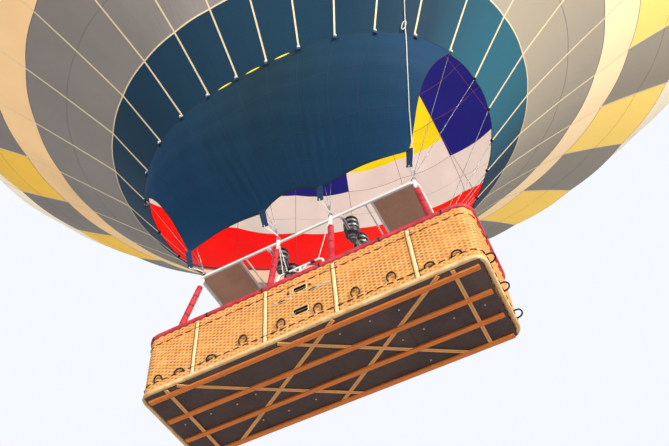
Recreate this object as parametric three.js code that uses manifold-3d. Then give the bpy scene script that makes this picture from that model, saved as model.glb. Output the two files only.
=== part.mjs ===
// Hot air balloon with a long wicker passenger basket, a burner frame on padded poles and a
// tall fabric envelope. Millimetres, +Z up, +X along the basket's long side. Heights are first
// given above the underside of the basket's runners, and the finished craft is then lowered so
// that the origin is the centre of the envelope's widest circle, where the air carries it.

import * as THREE from 'three'
import { mergeVertices } from 'three/addons/utils/BufferGeometryUtils.js'
import Module from 'manifold-3d'

const wasm = await Module()
wasm.setup()

// Driving sizes

const GAP = 0.3                 // between pieces that touch
const TURN = Math.PI * 2
const DEGREE = Math.PI / 180

const BASKET_HALF_X = 2380      // outer face of the wicker wall
const BASKET_HALF_Y = 740
const BASKET_CORNER = 150       // plan radius of the wall's outer corners
const WALL_THICK = 45
const WALL_FOOT_Z = 58
const WALL_TOP_Z = 1058
const CORNER_STEPS = 3

const BAY_HALF_X = 510          // centre of each cross partition, and of the inner wall posts
const OUTER_POST_X = 1590
const PARTITION_THICK = 40
const PARTITION_TOP_Z = 1000

const FLOOR_FOOT_Z = 30
const FLOOR_THICK = 18
const FLOOR_TOP_Z = FLOOR_FOOT_Z + FLOOR_THICK

const BAND_OUT = 20             // how far the base band stands out of the wall
const BAND_WIDTH = 65
const BAND_FOOT_Z = 18
const BAND_TOP_Z = 106

const RIM_WIDTH = 110
const RIM_HEIGHT = 85
const RIM_ROUND = 38

const FRAME_HALF_X = 1850       // burner frame, to the centre of its tube
const FRAME_HALF_Y = 570
const FRAME_Z = 2390
const FRAME_TUBE_R = 25
const FRAME_CORNER = 120
const CROSS_X = 1070            // middle of each pair of cross tubes
const CROSS_PITCH = 90
const CROSS_TUBE_R = 18
const LUG_R = 25
const LUG_HALF_HEIGHT = 60
const INNER_LUG_X = 450
const CORNER_SHARE = FRAME_CORNER * (1 - Math.SQRT1_2)
const OUTER_LUG_X = FRAME_HALF_X - CORNER_SHARE
const OUTER_LUG_Y = FRAME_HALF_Y - CORNER_SHARE

const BURNER_X = 620
const BURNER_Y = 175            // each of a pair's two cans, from the beam's middle
const TRUNNION_R = 16.4
const TRUNNION_BORE_R = 17.2
const BRACKET_OUT = 62          // from the frame tube's centre to the bracket's inner face
const BRACKET_HALF_X = 32
const BRACKET_HALF_Z = 36
const BORE_DEPTH = 32
const BORE_START = 5            // the cutter starts this far inside the bracket's face
const TRUNNION_REACH = 27       // how far the trunnion goes into its bore
const SHIELD_HALF_Z = 4

const GORES = 30
const FACETS = GORES * 2
const SHELL = 10
const MOUTH_Z = 4600
const EQUATOR_R = 14000
const EQUATOR_Z = 23900
const DOME_HEIGHT = 10000
const CONE_TOP_Z = 14000        // head of the pale row, where the measured rings end
const GORE_BULGE = 0.008        // share of the radius that a gore stands out, at the equator
const VENT_HOLE_R = 3200
const VENT_R = 3560

const LIFT_Z = EQUATOR_Z

// Finishes

const paint = (color, roughness, metalness = 0) =>
  new THREE.MeshStandardMaterial({ color, roughness, metalness })

const WICKER = [0xb9823f, 0.8]
const STRAW = [0xd8c08c, 0.75]
const PLYWOOD = [0x5b4a3c, 0.85]
const OCHRE_WOOD = [0xc07f30, 0.7]
const RED_PAD = [0xa81f26, 0.6]
const WHITE_TUBE = [0xd9dadb, 0.35, 0.6]
const STEEL = [0xb4b7ba, 0.35, 0.9]
const BURNER_DARK = [0x2c2b2d, 0.5, 0.7]
const SHIELD = [0x6b5a4d, 0.6, 0.3]
const CYLINDER = [0xa9adb0, 0.4, 0.8]
const CABLE = [0x8a8d90, 0.4, 0.8]
const NAVY = [0x17365c, 0.7]
const TAPE = [0xe0d2b0, 0.8]

const craft = new THREE.Group()
const lifted = new THREE.Group()
lifted.position.z = -LIFT_Z
craft.add(lifted)

const addPiece = (name, geometry, finish) => {
  const mesh = new THREE.Mesh(geometry, paint(...finish))
  mesh.name = name
  lifted.add(mesh)
  return mesh
}

// Solids: a closed mesh as a manifold, and back

const welded = (geometry) => {
  const bare = geometry.index ? geometry.toNonIndexed() : geometry.clone()
  for (const key of Object.keys(bare.attributes)) {
    if (key !== 'position') bare.deleteAttribute(key)
  }
  return mergeVertices(bare, 1e-3)
}

const solid = (geometry) => {
  const merged = welded(geometry)
  const vertProperties = new Float32Array(merged.attributes.position.array)
  const triVerts = new Uint32Array(merged.index.array)
  return new wasm.Manifold(new wasm.Mesh({ numProp: 3, vertProperties, triVerts }))
}

const geometryOf = (shape) => {
  const mesh = shape.getMesh()
  const geometry = new THREE.BufferGeometry()
  const places = new Float32Array(mesh.vertProperties)
  geometry.setAttribute('position', new THREE.BufferAttribute(places, 3))
  geometry.setIndex([...mesh.triVerts])
  return geometry
}

const joined = (geometries) => {
  const solids = geometries.map(solid)
  return solids.slice(1).reduce((sum, next) => sum.add(next), solids[0])
}

// Simple shapes

const box = (x, y, z, width, depth, height) =>
  new THREE.BoxGeometry(width, depth, height).translate(x, y, z)

const boxBetween = (low, high) => {
  const size = high.clone().sub(low)
  const middle = low.clone().add(high).multiplyScalar(0.5)
  return box(middle.x, middle.y, middle.z, size.x, size.y, size.z)
}

const vec = (x, y, z) => new THREE.Vector3(x, y, z)

// A shape made around +Z, turned and moved so that its axis runs from one point to another
const alongLine = (geometry, from, to) => {
  const turn = new THREE.Quaternion()
  turn.setFromUnitVectors(vec(0, 0, 1), to.clone().sub(from).normalize())
  return geometry.applyQuaternion(turn).translate(from.x, from.y, from.z)
}

const rod = (from, to, radius, sides) => {
  const length = from.distanceTo(to)
  const geometry = new THREE.CylinderGeometry(radius, radius, length, sides)
  return alongLine(geometry.rotateX(Math.PI / 2).translate(0, 0, length / 2), from, to)
}

// A turned shape around +Z from [radius, height] pairs that start and end on the axis
const turned = (outline, sides) => {
  const points = outline.map(([r, z]) => new THREE.Vector2(r, z))
  return new THREE.LatheGeometry(points, sides).rotateX(Math.PI / 2)
}

const tracePlan = (path, halfX, halfY, corner) => {
  path.moveTo(halfX, -halfY + corner)
  path.lineTo(halfX, halfY - corner)
  path.absarc(halfX - corner, halfY - corner, corner, 0, Math.PI / 2)
  path.lineTo(-halfX + corner, halfY)
  path.absarc(-halfX + corner, halfY - corner, corner, Math.PI / 2, Math.PI)
  path.lineTo(-halfX, -halfY + corner)
  path.absarc(-halfX + corner, -halfY + corner, corner, Math.PI, Math.PI * 1.5)
  path.lineTo(halfX - corner, -halfY)
  path.absarc(halfX - corner, -halfY + corner, corner, Math.PI * 1.5, TURN)
  return path
}

// A plate with a rounded rectangular plan, with its rounded edge inside the given half sizes
const roundedPlate = (halfX, halfY, corner, bottom, top, round = 0, ringWidth = 0) => {
  const shape = tracePlan(new THREE.Shape(), halfX - round, halfY - round, corner - round)
  if (ringWidth > 0) {
    const inset = ringWidth - round
    shape.holes.push(tracePlan(new THREE.Path(), halfX - inset, halfY - inset, corner - inset))
  }
  return new THREE.ExtrudeGeometry(shape, {
    depth: top - bottom - 2 * round,
    curveSegments: CORNER_STEPS,
    bevelEnabled: round > 0,
    bevelThickness: round,
    bevelSize: round,
    bevelSegments: 2
  }).translate(0, 0, bottom + round)
}

const ringPlate = (halfX, halfY, corner, width, bottom, top, round = 0) =>
  roundedPlate(halfX, halfY, corner, bottom, top, round, width)

// Basket wall, with the two step holes of the pilot's bay on each long side

const STEP_HOLES_Z = [390, 810]
const STEP_HOLE_WIDTH = 200
const STEP_HOLE_HEIGHT = 110

function basketWall () {
  const ring = ringPlate(BASKET_HALF_X, BASKET_HALF_Y, BASKET_CORNER, WALL_THICK, WALL_FOOT_Z, WALL_TOP_Z)
  const reach = 2 * BASKET_HALF_Y + WALL_THICK
  const holes = STEP_HOLES_Z.map((z) => solid(box(0, 0, z, STEP_HOLE_WIDTH, reach, STEP_HOLE_HEIGHT)))
  return geometryOf(holes.reduce((wall, hole) => wall.subtract(hole), solid(ring)))
}

// Pale band round the foot of the wall, with the upright strakes that protect the long sides

const POST_XS = [-OUTER_POST_X, -BAY_HALF_X, BAY_HALF_X, OUTER_POST_X]
const POST_WIDTH = 62
const POST_THICK = 15
const POST_TOP_Z = 1035
const POST_LAP = 40             // how far a strake's foot runs down behind the band's top

function baseBand () {
  const halfX = BASKET_HALF_X + BAND_OUT
  const halfY = BASKET_HALF_Y + BAND_OUT
  const corner = BASKET_CORNER + BAND_OUT
  const ring = solid(ringPlate(halfX, halfY, corner, BAND_WIDTH, BAND_FOOT_Z, BAND_TOP_Z))
  const wallRoom = solid(roundedPlate(BASKET_HALF_X + GAP, BASKET_HALF_Y + GAP, BASKET_CORNER + GAP,
    WALL_FOOT_Z - GAP, WALL_TOP_Z))
  const inner = BASKET_HALF_Y + GAP
  let band = ring.subtract(wallRoom)
  for (const x of POST_XS) {
    for (const side of [-1, 1]) {
      const low = vec(x - POST_WIDTH / 2, Math.min(side * inner, side * (inner + POST_THICK)), BAND_TOP_Z - POST_LAP)
      const high = vec(x + POST_WIDTH / 2, Math.max(side * inner, side * (inner + POST_THICK)), POST_TOP_Z)
      band = band.add(solid(boxBetween(low, high)))
    }
  }
  return geometryOf(band)
}

// Wooden runners and thin slats under the floor, as one frame

const RUNNER_YS = [-590, -165, 260, 655]
const RUNNER_HALF_X = 2250
const RUNNER_WIDTH = 72
const SLAT_WIDTH = 76
const SLAT_FOOT_Z = 16
const SLAT_REACH_Y = 655
const CROSS_SLAT_X = 2000
const BRACE_MIDDLE_X = 740
const BRACE_HALF_X = 1060

function floorRunners () {
  const top = FLOOR_FOOT_Z - GAP
  const pieces = RUNNER_YS.map((y) => boxBetween(
    vec(-RUNNER_HALF_X, y - RUNNER_WIDTH / 2, 0), vec(RUNNER_HALF_X, y + RUNNER_WIDTH / 2, top)))
  const slats = [[-CROSS_SLAT_X, -CROSS_SLAT_X], [CROSS_SLAT_X, CROSS_SLAT_X]]
  for (const middle of [-BRACE_MIDDLE_X, BRACE_MIDDLE_X]) {
    slats.push([middle - BRACE_HALF_X, middle + BRACE_HALF_X])
    slats.push([middle + BRACE_HALF_X, middle - BRACE_HALF_X])
  }
  const thick = top - SLAT_FOOT_Z
  for (const [nearX, farX] of slats) {
    const length = Math.hypot(farX - nearX, 2 * SLAT_REACH_Y)
    const angle = Math.atan2(2 * SLAT_REACH_Y, farX - nearX)
    const slat = box(0, 0, 0, length, SLAT_WIDTH, thick)
    pieces.push(slat.rotateZ(angle).translate((nearX + farX) / 2, 0, SLAT_FOOT_Z + thick / 2))
  }
  return geometryOf(joined(pieces))
}

function buildBasket () {
  addPiece('basket_wall', basketWall(), WICKER)
  addPiece('base_band', baseBand(), STRAW)
  addPiece('floor_runners', floorRunners(), OCHRE_WOOD)

  const inX = BASKET_HALF_X + BAND_OUT - BAND_WIDTH - GAP
  const inY = BASKET_HALF_Y + BAND_OUT - BAND_WIDTH - GAP
  const inCorner = BASKET_CORNER + BAND_OUT - BAND_WIDTH - GAP
  addPiece('floor_board', roundedPlate(inX, inY, inCorner, FLOOR_FOOT_Z, FLOOR_TOP_Z), PLYWOOD)

  const rimOut = (RIM_WIDTH - WALL_THICK) / 2
  addPiece('rim_pad', ringPlate(BASKET_HALF_X + rimOut, BASKET_HALF_Y + rimOut, BASKET_CORNER + rimOut,
    RIM_WIDTH, WALL_TOP_Z + GAP, WALL_TOP_Z + GAP + RIM_HEIGHT, RIM_ROUND), RED_PAD)

  // name, low x, low y, high x, high y of each woven partition
  const innerX = BASKET_HALF_X - WALL_THICK - GAP
  const innerY = BASKET_HALF_Y - WALL_THICK - GAP
  const half = PARTITION_THICK / 2
  const partitions = [
    ['partition_cross_left', -BAY_HALF_X - half, -innerY, -BAY_HALF_X + half, innerY],
    ['partition_cross_right', BAY_HALF_X - half, -innerY, BAY_HALF_X + half, innerY],
    ['partition_long_left', -innerX, -half, -BAY_HALF_X - half - GAP, half],
    ['partition_long_right', BAY_HALF_X + half + GAP, -half, innerX, half]
  ]
  for (const [name, lowX, lowY, highX, highY] of partitions) {
    const low = vec(lowX, lowY, FLOOR_TOP_Z + GAP)
    addPiece(name, boxBetween(low, vec(highX, highY, PARTITION_TOP_Z)), WICKER)
  }
}

// Fuel cylinders standing in the corners of the pilot's bay

const TANK_R = 150
const TANK_HEIGHT = 930
const TANK_X = 336
const TANK_Y = 540
const TANK_FOOT_R = 138
const TANK_FOOT_HEIGHT = 24
const TANK_EDGE = 40            // height where the wall is full
const TANK_SHOULDER = 150       // from the top down to where the shoulder starts
const TANK_COLLAR_R = 93        // guard round the valves
const TANK_COLLAR_FOOT = 72

function buildTanks () {
  const outline = [
    [0, 0], [TANK_FOOT_R, 0], [TANK_FOOT_R, TANK_FOOT_HEIGHT], [TANK_R, TANK_EDGE],
    [TANK_R, TANK_HEIGHT - TANK_SHOULDER], [TANK_COLLAR_R + 15, TANK_HEIGHT - TANK_COLLAR_FOOT - 8],
    [TANK_COLLAR_R, TANK_HEIGHT - TANK_COLLAR_FOOT], [TANK_COLLAR_R, TANK_HEIGHT], [0, TANK_HEIGHT]
  ]
  const corners = [['near_left', -1, -1], ['near_right', 1, -1], ['far_left', -1, 1], ['far_right', 1, 1]]
  for (const [place, sideX, sideY] of corners) {
    const tank = turned(outline, 16).translate(sideX * TANK_X, sideY * TANK_Y, FLOOR_TOP_Z + GAP)
    addPiece(`fuel_cylinder_${place}`, tank, CYLINDER)
  }
}

// White tubular rail over the rim at the pilot's bay

const RAIL_HALF_X = 360
const RAIL_R = 16
const RAIL_TOP_Z = 1330
const RAIL_CORNER = 90

function buildPilotRail () {
  const foot = WALL_TOP_Z + RIM_HEIGHT + 2 * GAP
  const y = -(BASKET_HALF_Y - WALL_THICK / 2)
  const path = new THREE.CurvePath()
  const bend = (x0, z0, x1, z1, cornerX, cornerZ) => new THREE.QuadraticBezierCurve3(
    vec(x0, y, z0), vec(cornerX, y, cornerZ), vec(x1, y, z1))
  const inX = RAIL_HALF_X - RAIL_CORNER
  const shoulder = RAIL_TOP_Z - RAIL_CORNER
  path.add(new THREE.LineCurve3(vec(-RAIL_HALF_X, y, foot), vec(-RAIL_HALF_X, y, shoulder)))
  path.add(bend(-RAIL_HALF_X, shoulder, -inX, RAIL_TOP_Z, -RAIL_HALF_X, RAIL_TOP_Z))
  path.add(new THREE.LineCurve3(vec(-inX, y, RAIL_TOP_Z), vec(inX, y, RAIL_TOP_Z)))
  path.add(bend(inX, RAIL_TOP_Z, RAIL_HALF_X, shoulder, RAIL_HALF_X, RAIL_TOP_Z))
  path.add(new THREE.LineCurve3(vec(RAIL_HALF_X, y, shoulder), vec(RAIL_HALF_X, y, foot)))
  const section = new THREE.Shape().absarc(0, 0, RAIL_R, 0, TURN)
  addPiece('pilot_rail', new THREE.ExtrudeGeometry(section, {
    steps: 24, curveSegments: 4, bevelEnabled: false, extrudePath: path
  }), WHITE_TUBE)
}

// Burner frame: a rounded tube ring, two pairs of cross tubes, pole sockets and beam brackets

const SOCKETS = [
  // place, x, y
  ['near_left_end', -OUTER_LUG_X, -OUTER_LUG_Y],
  ['near_left_middle', -INNER_LUG_X, -FRAME_HALF_Y],
  ['near_right_middle', INNER_LUG_X, -FRAME_HALF_Y],
  ['near_right_end', OUTER_LUG_X, -OUTER_LUG_Y],
  ['far_left_end', -OUTER_LUG_X, OUTER_LUG_Y],
  ['far_left_middle', -INNER_LUG_X, FRAME_HALF_Y],
  ['far_right_middle', INNER_LUG_X, FRAME_HALF_Y],
  ['far_right_end', OUTER_LUG_X, OUTER_LUG_Y]
]

function buildFrame () {
  const r = FRAME_TUBE_R
  const ring = ringPlate(FRAME_HALF_X + r, FRAME_HALF_Y + r, FRAME_CORNER + r, 2 * r,
    FRAME_Z - r, FRAME_Z + r, r - 1)
  const pieces = [ring]
  for (const middle of [-CROSS_X, CROSS_X]) {
    for (const side of [-1, 1]) {
      const x = middle + side * CROSS_PITCH / 2
      pieces.push(rod(vec(x, -FRAME_HALF_Y, FRAME_Z), vec(x, FRAME_HALF_Y, FRAME_Z), CROSS_TUBE_R, 8))
    }
  }
  for (const [, x, y] of SOCKETS) {
    pieces.push(rod(vec(x, y, FRAME_Z - LUG_HALF_HEIGHT), vec(x, y, FRAME_Z + LUG_HALF_HEIGHT), LUG_R, 8))
  }
  for (const x of [-BURNER_X, BURNER_X]) {
    for (const side of [-1, 1]) {
      const inner = side * (FRAME_HALF_Y - BRACKET_OUT)
      const outer = side * FRAME_HALF_Y
      const low = vec(x - BRACKET_HALF_X, Math.min(inner, outer), FRAME_Z - BRACKET_HALF_Z)
      const high = vec(x + BRACKET_HALF_X, Math.max(inner, outer), FRAME_Z + BRACKET_HALF_Z)
      pieces.push(boxBetween(low, high))
    }
  }
  let frame = joined(pieces)
  for (const x of [-BURNER_X, BURNER_X]) {
    for (const side of [-1, 1]) {
      const mouth = vec(x, side * (FRAME_HALF_Y - BRACKET_OUT - BORE_START), FRAME_Z)
      const end = vec(x, side * (FRAME_HALF_Y - BRACKET_OUT + BORE_DEPTH), FRAME_Z)
      frame = frame.subtract(solid(rod(mouth, end, TRUNNION_BORE_R, 18)))
    }
  }
  addPiece('burner_frame', geometryOf(frame), WHITE_TUBE)

  const shieldIn = CROSS_X + CROSS_PITCH / 2 + CROSS_TUBE_R + GAP
  const shieldCorner = FRAME_CORNER - r - GAP
  const full = solid(roundedPlate(FRAME_HALF_X - r - GAP, FRAME_HALF_Y - r - GAP, shieldCorner,
    FRAME_Z - SHIELD_HALF_Z, FRAME_Z + SHIELD_HALF_Z))
  for (const [name, side] of [['heat_shield_left', -1], ['heat_shield_right', 1]]) {
    const far = side * 2 * FRAME_HALF_X
    const low = vec(Math.min(side * shieldIn, far), -FRAME_HALF_Y, FRAME_Z - FRAME_TUBE_R)
    const high = vec(Math.max(side * shieldIn, far), FRAME_HALF_Y, FRAME_Z + FRAME_TUBE_R)
    addPiece(name, geometryOf(full.intersect(solid(boxBetween(low, high)))), SHIELD)
  }
}

// Padded poles from the rim up to the frame's sockets, leaning in

const POLE_TUBE_R = 20
const SLEEVE_R = 46
const SLEEVE_END = 150          // bare tube left at the top
const POLE_FOOT_XS = { end: 1930, middle: 480 }

function buildPoles () {
  for (const [place, x, y] of SOCKETS) {
    const kind = place.endsWith('end') ? 'end' : 'middle'
    const footY = Math.sign(y) * (BASKET_HALF_Y - WALL_THICK / 2)
    const foot = vec(Math.sign(x) * POLE_FOOT_XS[kind], footY, WALL_TOP_Z + RIM_HEIGHT + 2 * GAP)
    const head = vec(x, y, FRAME_Z - LUG_HALF_HEIGHT - GAP)
    const lean = Math.acos(head.clone().sub(foot).normalize().z)
    const slack = POLE_TUBE_R * Math.sin(lean)
    foot.z += slack
    head.z -= slack
    const length = foot.distanceTo(head)
    const sleeveTop = length - SLEEVE_END
    const outline = [
      [0, 0], [POLE_TUBE_R, 0], [POLE_TUBE_R, 12], [SLEEVE_R, 20], [SLEEVE_R, sleeveTop],
      [POLE_TUBE_R, sleeveTop + 8], [POLE_TUBE_R, length], [0, length]
    ]
    addPiece(`pole_${place}`, alongLine(turned(outline, 10), foot, head), RED_PAD)
  }
}

// Twin burners on beams that tilt in the frame's brackets

const BEAM_R = 24
const BEAM_END_GAP = 5
const BURNER_COILS = 2
const COIL_PITCH = 120
const COIL_START = 70           // heights of a burner are from the beam's middle
const COIL_R = 126
const CAN_R = 112
const CAN_WALL = 10
const CAN_FOOT = -30
const CAN_FLOOR = 60
const CAN_HEAD = 330
const MANIFOLD_R = 66
const MANIFOLD_FOOT = -170

function burnerOutline () {
  const outline = [
    [0, MANIFOLD_FOOT], [MANIFOLD_R, MANIFOLD_FOOT], [MANIFOLD_R + 4, 2 * CAN_FOOT],
    [CAN_R, CAN_FOOT], [CAN_R, COIL_START - 20]
  ]
  for (let turn = 0; turn < BURNER_COILS; turn++) {
    const z = COIL_START + turn * COIL_PITCH
    outline.push([COIL_R, z], [COIL_R, z + COIL_PITCH / 2], [CAN_R, z + COIL_PITCH * 0.7])
  }
  outline.push([CAN_R, CAN_HEAD], [CAN_R - CAN_WALL, CAN_HEAD])
  outline.push([CAN_R - CAN_WALL - 6, CAN_FLOOR], [0, CAN_FLOOR])
  return outline
}

function buildBurners () {
  for (const [name, x] of [['left', -BURNER_X], ['right', BURNER_X]]) {
    const reach = FRAME_HALF_Y - BRACKET_OUT - BEAM_END_GAP
    const tip = FRAME_HALF_Y - BRACKET_OUT + TRUNNION_REACH
    const beam = joined([
      rod(vec(x, -reach, FRAME_Z), vec(x, reach, FRAME_Z), BEAM_R, 14),
      rod(vec(x, -tip, FRAME_Z), vec(x, tip, FRAME_Z), TRUNNION_R, 18)
    ])
    for (const [place, y] of [['near', -BURNER_Y], ['far', BURNER_Y]]) {
      const can = solid(turned(burnerOutline(), 12).translate(x, y, FRAME_Z))
      const room = solid(rod(vec(x, -tip, FRAME_Z), vec(x, tip, FRAME_Z), BEAM_R + GAP, 14))
      addPiece(`burner_${name}_${place}`, geometryOf(can.subtract(room)), BURNER_DARK)
    }
    addPiece(`burner_beam_${name}`, geometryOf(beam), STEEL)
  }
}

// Envelope: mean half width of its outside at a height, and how far it is from round there

const LOWER_RINGS = [
  // height, mean half width, then shares of it: two waves round by cosine and sine, three waves
  [MOUTH_Z, 2924, 0.077, -0.003, 0.001, -0.04],
  [5920, 3817, 0.072, -0.007, 0.019, -0.019],
  [8420, 5756, 0.093, 0.043, 0.03, -0.001],
  [9830, 6976, 0.085, 0.052, 0.03, 0.001],
  [12300, 9417, 0.058, 0.091, 0.018, 0.011],
  [CONE_TOP_Z, 10460, 0.094, 0.112, 0.021, 0.031],
  [EQUATOR_Z, EQUATOR_R, 0, 0, 0, 0]
]
const MOUTH_SHIFT = [119, 118]  // middle of the mouth off the basket's middle
const MOUTH_LEAN = [0.019, 0.081]  // rise of the mouth's plane along X and Y

const lowerRing = (z, column) => {
  const above = LOWER_RINGS.findIndex(([height]) => height >= z)
  const [next, last] = [LOWER_RINGS[Math.max(above, 1)], LOWER_RINGS[Math.max(above, 1) - 1]]
  const share = (z - last[0]) / (next[0] - last[0])
  return last[column] + (next[column] - last[column]) * share
}

const halfWidthAt = (z) => {
  if (z <= CONE_TOP_Z) return lowerRing(z, 1)
  if (z > EQUATOR_Z) return EQUATOR_R * Math.sqrt(Math.max(0, 1 - ((z - EQUATOR_Z) / DOME_HEIGHT) ** 2))
  const below = (EQUATOR_Z - z) / (EQUATOR_Z - CONE_TOP_Z)
  return EQUATOR_R - (EQUATOR_R - lowerRing(CONE_TOP_Z, 1)) * below ** 2
}

// Share of the half width by which the outside stands off a circle, at an angle
const offRoundAt = (z, angle) => {
  if (z >= EQUATOR_Z) return 0
  const two = lowerRing(z, 2) * Math.cos(2 * angle) + lowerRing(z, 3) * Math.sin(2 * angle)
  return two + lowerRing(z, 4) * Math.cos(3 * angle) + lowerRing(z, 5) * Math.sin(3 * angle)
}

const domeHeightAt = (r) => EQUATOR_Z + DOME_HEIGHT * Math.sqrt(1 - (r / EQUATOR_R) ** 2)

// Moves a point of a round shell to its place on the real one, which is wide across a slant, set off
// and leaning at the mouth, and has gores that stand out by the share given
const shaped = (x, y, height, bulge = GORE_BULGE) => {
  const z = Math.max(height, MOUTH_Z)
  const around = Math.atan2(y, x)
  const width = halfWidthAt(Math.min(z, EQUATOR_Z + DOME_HEIGHT))
  const stand = width * (width / EQUATOR_R) * bulge * Math.abs(Math.sin(around * GORES / 2))
  const off = width * offRoundAt(z, around) + stand
  const low = THREE.MathUtils.clamp((EQUATOR_Z - z) / (EQUATOR_Z - MOUTH_Z), 0, 1)
  const place = vec(x + off * Math.cos(around), y + off * Math.sin(around), height)
  place.x += low * MOUTH_SHIFT[0]
  place.y += low * MOUTH_SHIFT[1]
  place.z += low * (MOUTH_LEAN[0] * place.x + MOUTH_LEAN[1] * place.y)
  return place
}

const shapeGores = (geometry) => {
  const places = geometry.attributes.position
  for (let i = 0; i < places.count; i++) {
    const place = shaped(places.getX(i), places.getY(i), places.getZ(i))
    places.setXYZ(i, place.x, place.y, place.z)
  }
  return geometry
}

// Points up the outside between two heights, evenly spread in height or round the dome
const meridian = (lowZ, highZ, rows) => {
  const points = []
  for (let row = 0; row <= rows; row++) {
    const share = row / rows
    if (lowZ < EQUATOR_Z) {
      const z = lowZ + (highZ - lowZ) * share
      points.push(new THREE.Vector2(halfWidthAt(z), z))
      continue
    }
    const angleAt = (z) => Math.asin((z - EQUATOR_Z) / DOME_HEIGHT)
    const angle = angleAt(lowZ) + (angleAt(highZ) - angleAt(lowZ)) * share
    points.push(new THREE.Vector2(EQUATOR_R * Math.cos(angle), EQUATOR_Z + DOME_HEIGHT * Math.sin(angle)))
  }
  return points
}

// Outward normal of the outside profile at a point, by its neighbours in height
const outwardAt = ({ x: r, y: z }) => {
  if (z > EQUATOR_Z) {
    return new THREE.Vector2(r / EQUATOR_R ** 2, (z - EQUATOR_Z) / DOME_HEIGHT ** 2).normalize()
  }
  const low = Math.max(z - 5, MOUTH_Z)
  const high = Math.min(z + 5, EQUATOR_Z)
  return new THREE.Vector2(high - low, halfWidthAt(low) - halfWidthAt(high)).normalize()
}

const inset = (points, depth) => points.map((p) => p.clone().addScaledVector(outwardAt(p), -depth))

// Ring of a shell, whose inside is cut into triangles along the same lines as its outside, because
// its four-cornered faces aren't flat and the two sides would cross where they were cut differently
const latheRing = (outside, inside) => {
  const profile = [...outside, ...inside, outside[0].clone()]
  const ring = new THREE.LatheGeometry(profile, FACETS)
  const corners = []
  for (let facet = 0; facet < FACETS; facet++) {
    for (let row = 0; row < profile.length - 1; row++) {
      const [a, d] = [facet * profile.length + row, facet * profile.length + row + 1]
      const [b, c] = [a + profile.length, d + profile.length]
      if (row < outside.length) corners.push(a, b, d, c, d, b)
      else corners.push(a, b, c, a, c, d)
    }
  }
  ring.setIndex(corners)
  return ring.rotateX(Math.PI / 2)
}

const BAND_GAP = 0.4            // between two rows, of which the lean takes a part

function buildEnvelope () {
  // name, foot, head, rows, colour
  const bands = [
    ['envelope_mouth', MOUTH_Z, 5920, 1, 0x17365c],
    ['envelope_grey', 5920, 8420, 1, 0xa9a7aa],
    ['envelope_cream', 8420, 9830, 1, 0xe5cfae],
    ['envelope_checks', 9830, 12300, 1, 0xd99a2b],
    ['envelope_pale', 12300, 14000, 1, 0xe9dcc2],
    ['envelope_rose', 14000, 14800, 1, 0xc8505a],
    ['envelope_charcoal', 14800, 15700, 1, 0x3b3a3d],
    ['envelope_red_low', 15700, 19300, 2, 0xc01c22],
    ['envelope_red_high', 19300, 23050, 2, 0xc01c22],
    ['envelope_white', 23050, 26300, 2, 0xe8e3da],
    ['envelope_violet_low', 26300, 28500, 2, 0x35267d],
    ['envelope_violet_high', 28500, 31000, 2, 0x35267d],
    ['envelope_shoulder', 31000, 32300, 1, 0x17365c],
    ['envelope_crown', 32300, domeHeightAt(VENT_R), 2, 0x17365c]
  ]
  for (const [name, foot, head, rows, color] of bands) {
    const low = name === 'envelope_mouth' ? foot : foot + BAND_GAP
    const profile = meridian(low, head, rows)
    if (name === 'envelope_crown') profile.push(new THREE.Vector2(VENT_HOLE_R, domeHeightAt(VENT_HOLE_R)))
    const inner = inset(profile, SHELL).reverse()
    addPiece(name, shapeGores(latheRing(profile, inner)), [color, 0.7])
  }
}

// Parachute vent: a cap that closes the crown from inside, and the tapes that it seats against

const VENT_SEAT_GAP = 0.6
const CROWN_DISC_R = 240
const TAPE_WIDTH = 32
const TAPE_PARTS = 2
const TAPE_START_R = 225
const TAPE_END_GAP = 0.6        // more than at the tape's middle line, for its corners
const RING_OUT = 190
const RING_IN = 90
const RING_THICK = 34
const RING_SIDES = 16

function buildCrown () {
  const end = VENT_HOLE_R - GAP - TAPE_END_GAP
  const radii = [0]
  for (let part = 0; part <= TAPE_PARTS; part++) {
    radii.push(TAPE_START_R + (end - TAPE_START_R) * part / TAPE_PARTS)
  }
  const cap = [...radii, VENT_R].map((r) => new THREE.Vector2(r, domeHeightAt(r)))
  const top = inset(cap, SHELL + VENT_SEAT_GAP)
  const under = inset(cap, 2 * SHELL + VENT_SEAT_GAP)
  const vent = new THREE.LatheGeometry([...under, ...top.reverse()], FACETS).rotateX(Math.PI / 2)
  addPiece('parachute_vent', shapeGores(vent), NAVY)

  const disc = turned([[0, 0], [CROWN_DISC_R, 0], [CROWN_DISC_R, SHELL], [0, SHELL]], GORES)
  disc.translate(0, 0, domeHeightAt(0) - SHELL)
  const strips = [disc]
  const start = TAPE_START_R
  for (let gore = 0; gore < GORES; gore++) {
    const strip = new THREE.BoxGeometry(end - start, TAPE_WIDTH, SHELL, TAPE_PARTS, 1, 1)
    const places = strip.attributes.position
    for (let i = 0; i < places.count; i++) {
      const r = places.getX(i) + (start + end) / 2
      const drop = SHELL / 2 - places.getZ(i)
      const out = outwardAt({ x: r, y: domeHeightAt(r) })
      places.setXYZ(i, r - drop * out.x, places.getY(i), domeHeightAt(r) - drop * out.y)
    }
    strips.push(strip.rotateZ(gore * TURN / GORES))
  }
  addPiece('crown_tapes', geometryOf(joined(strips)), TAPE)

  const ring = turned([[0, 0], [RING_OUT, 0], [RING_OUT, RING_THICK], [0, RING_THICK]], RING_SIDES)
  const eye = turned([[0, -1], [RING_IN, -1], [RING_IN, RING_THICK + 1], [0, RING_THICK + 1]], RING_SIDES)
  const crownRing = geometryOf(solid(ring).subtract(solid(eye)))
  addPiece('crown_ring', crownRing.translate(0, 0, domeHeightAt(0) + GAP), STEEL)
}

// Suspension: a karabiner on each frame socket and the steel cables up to the tapes' ends

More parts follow.
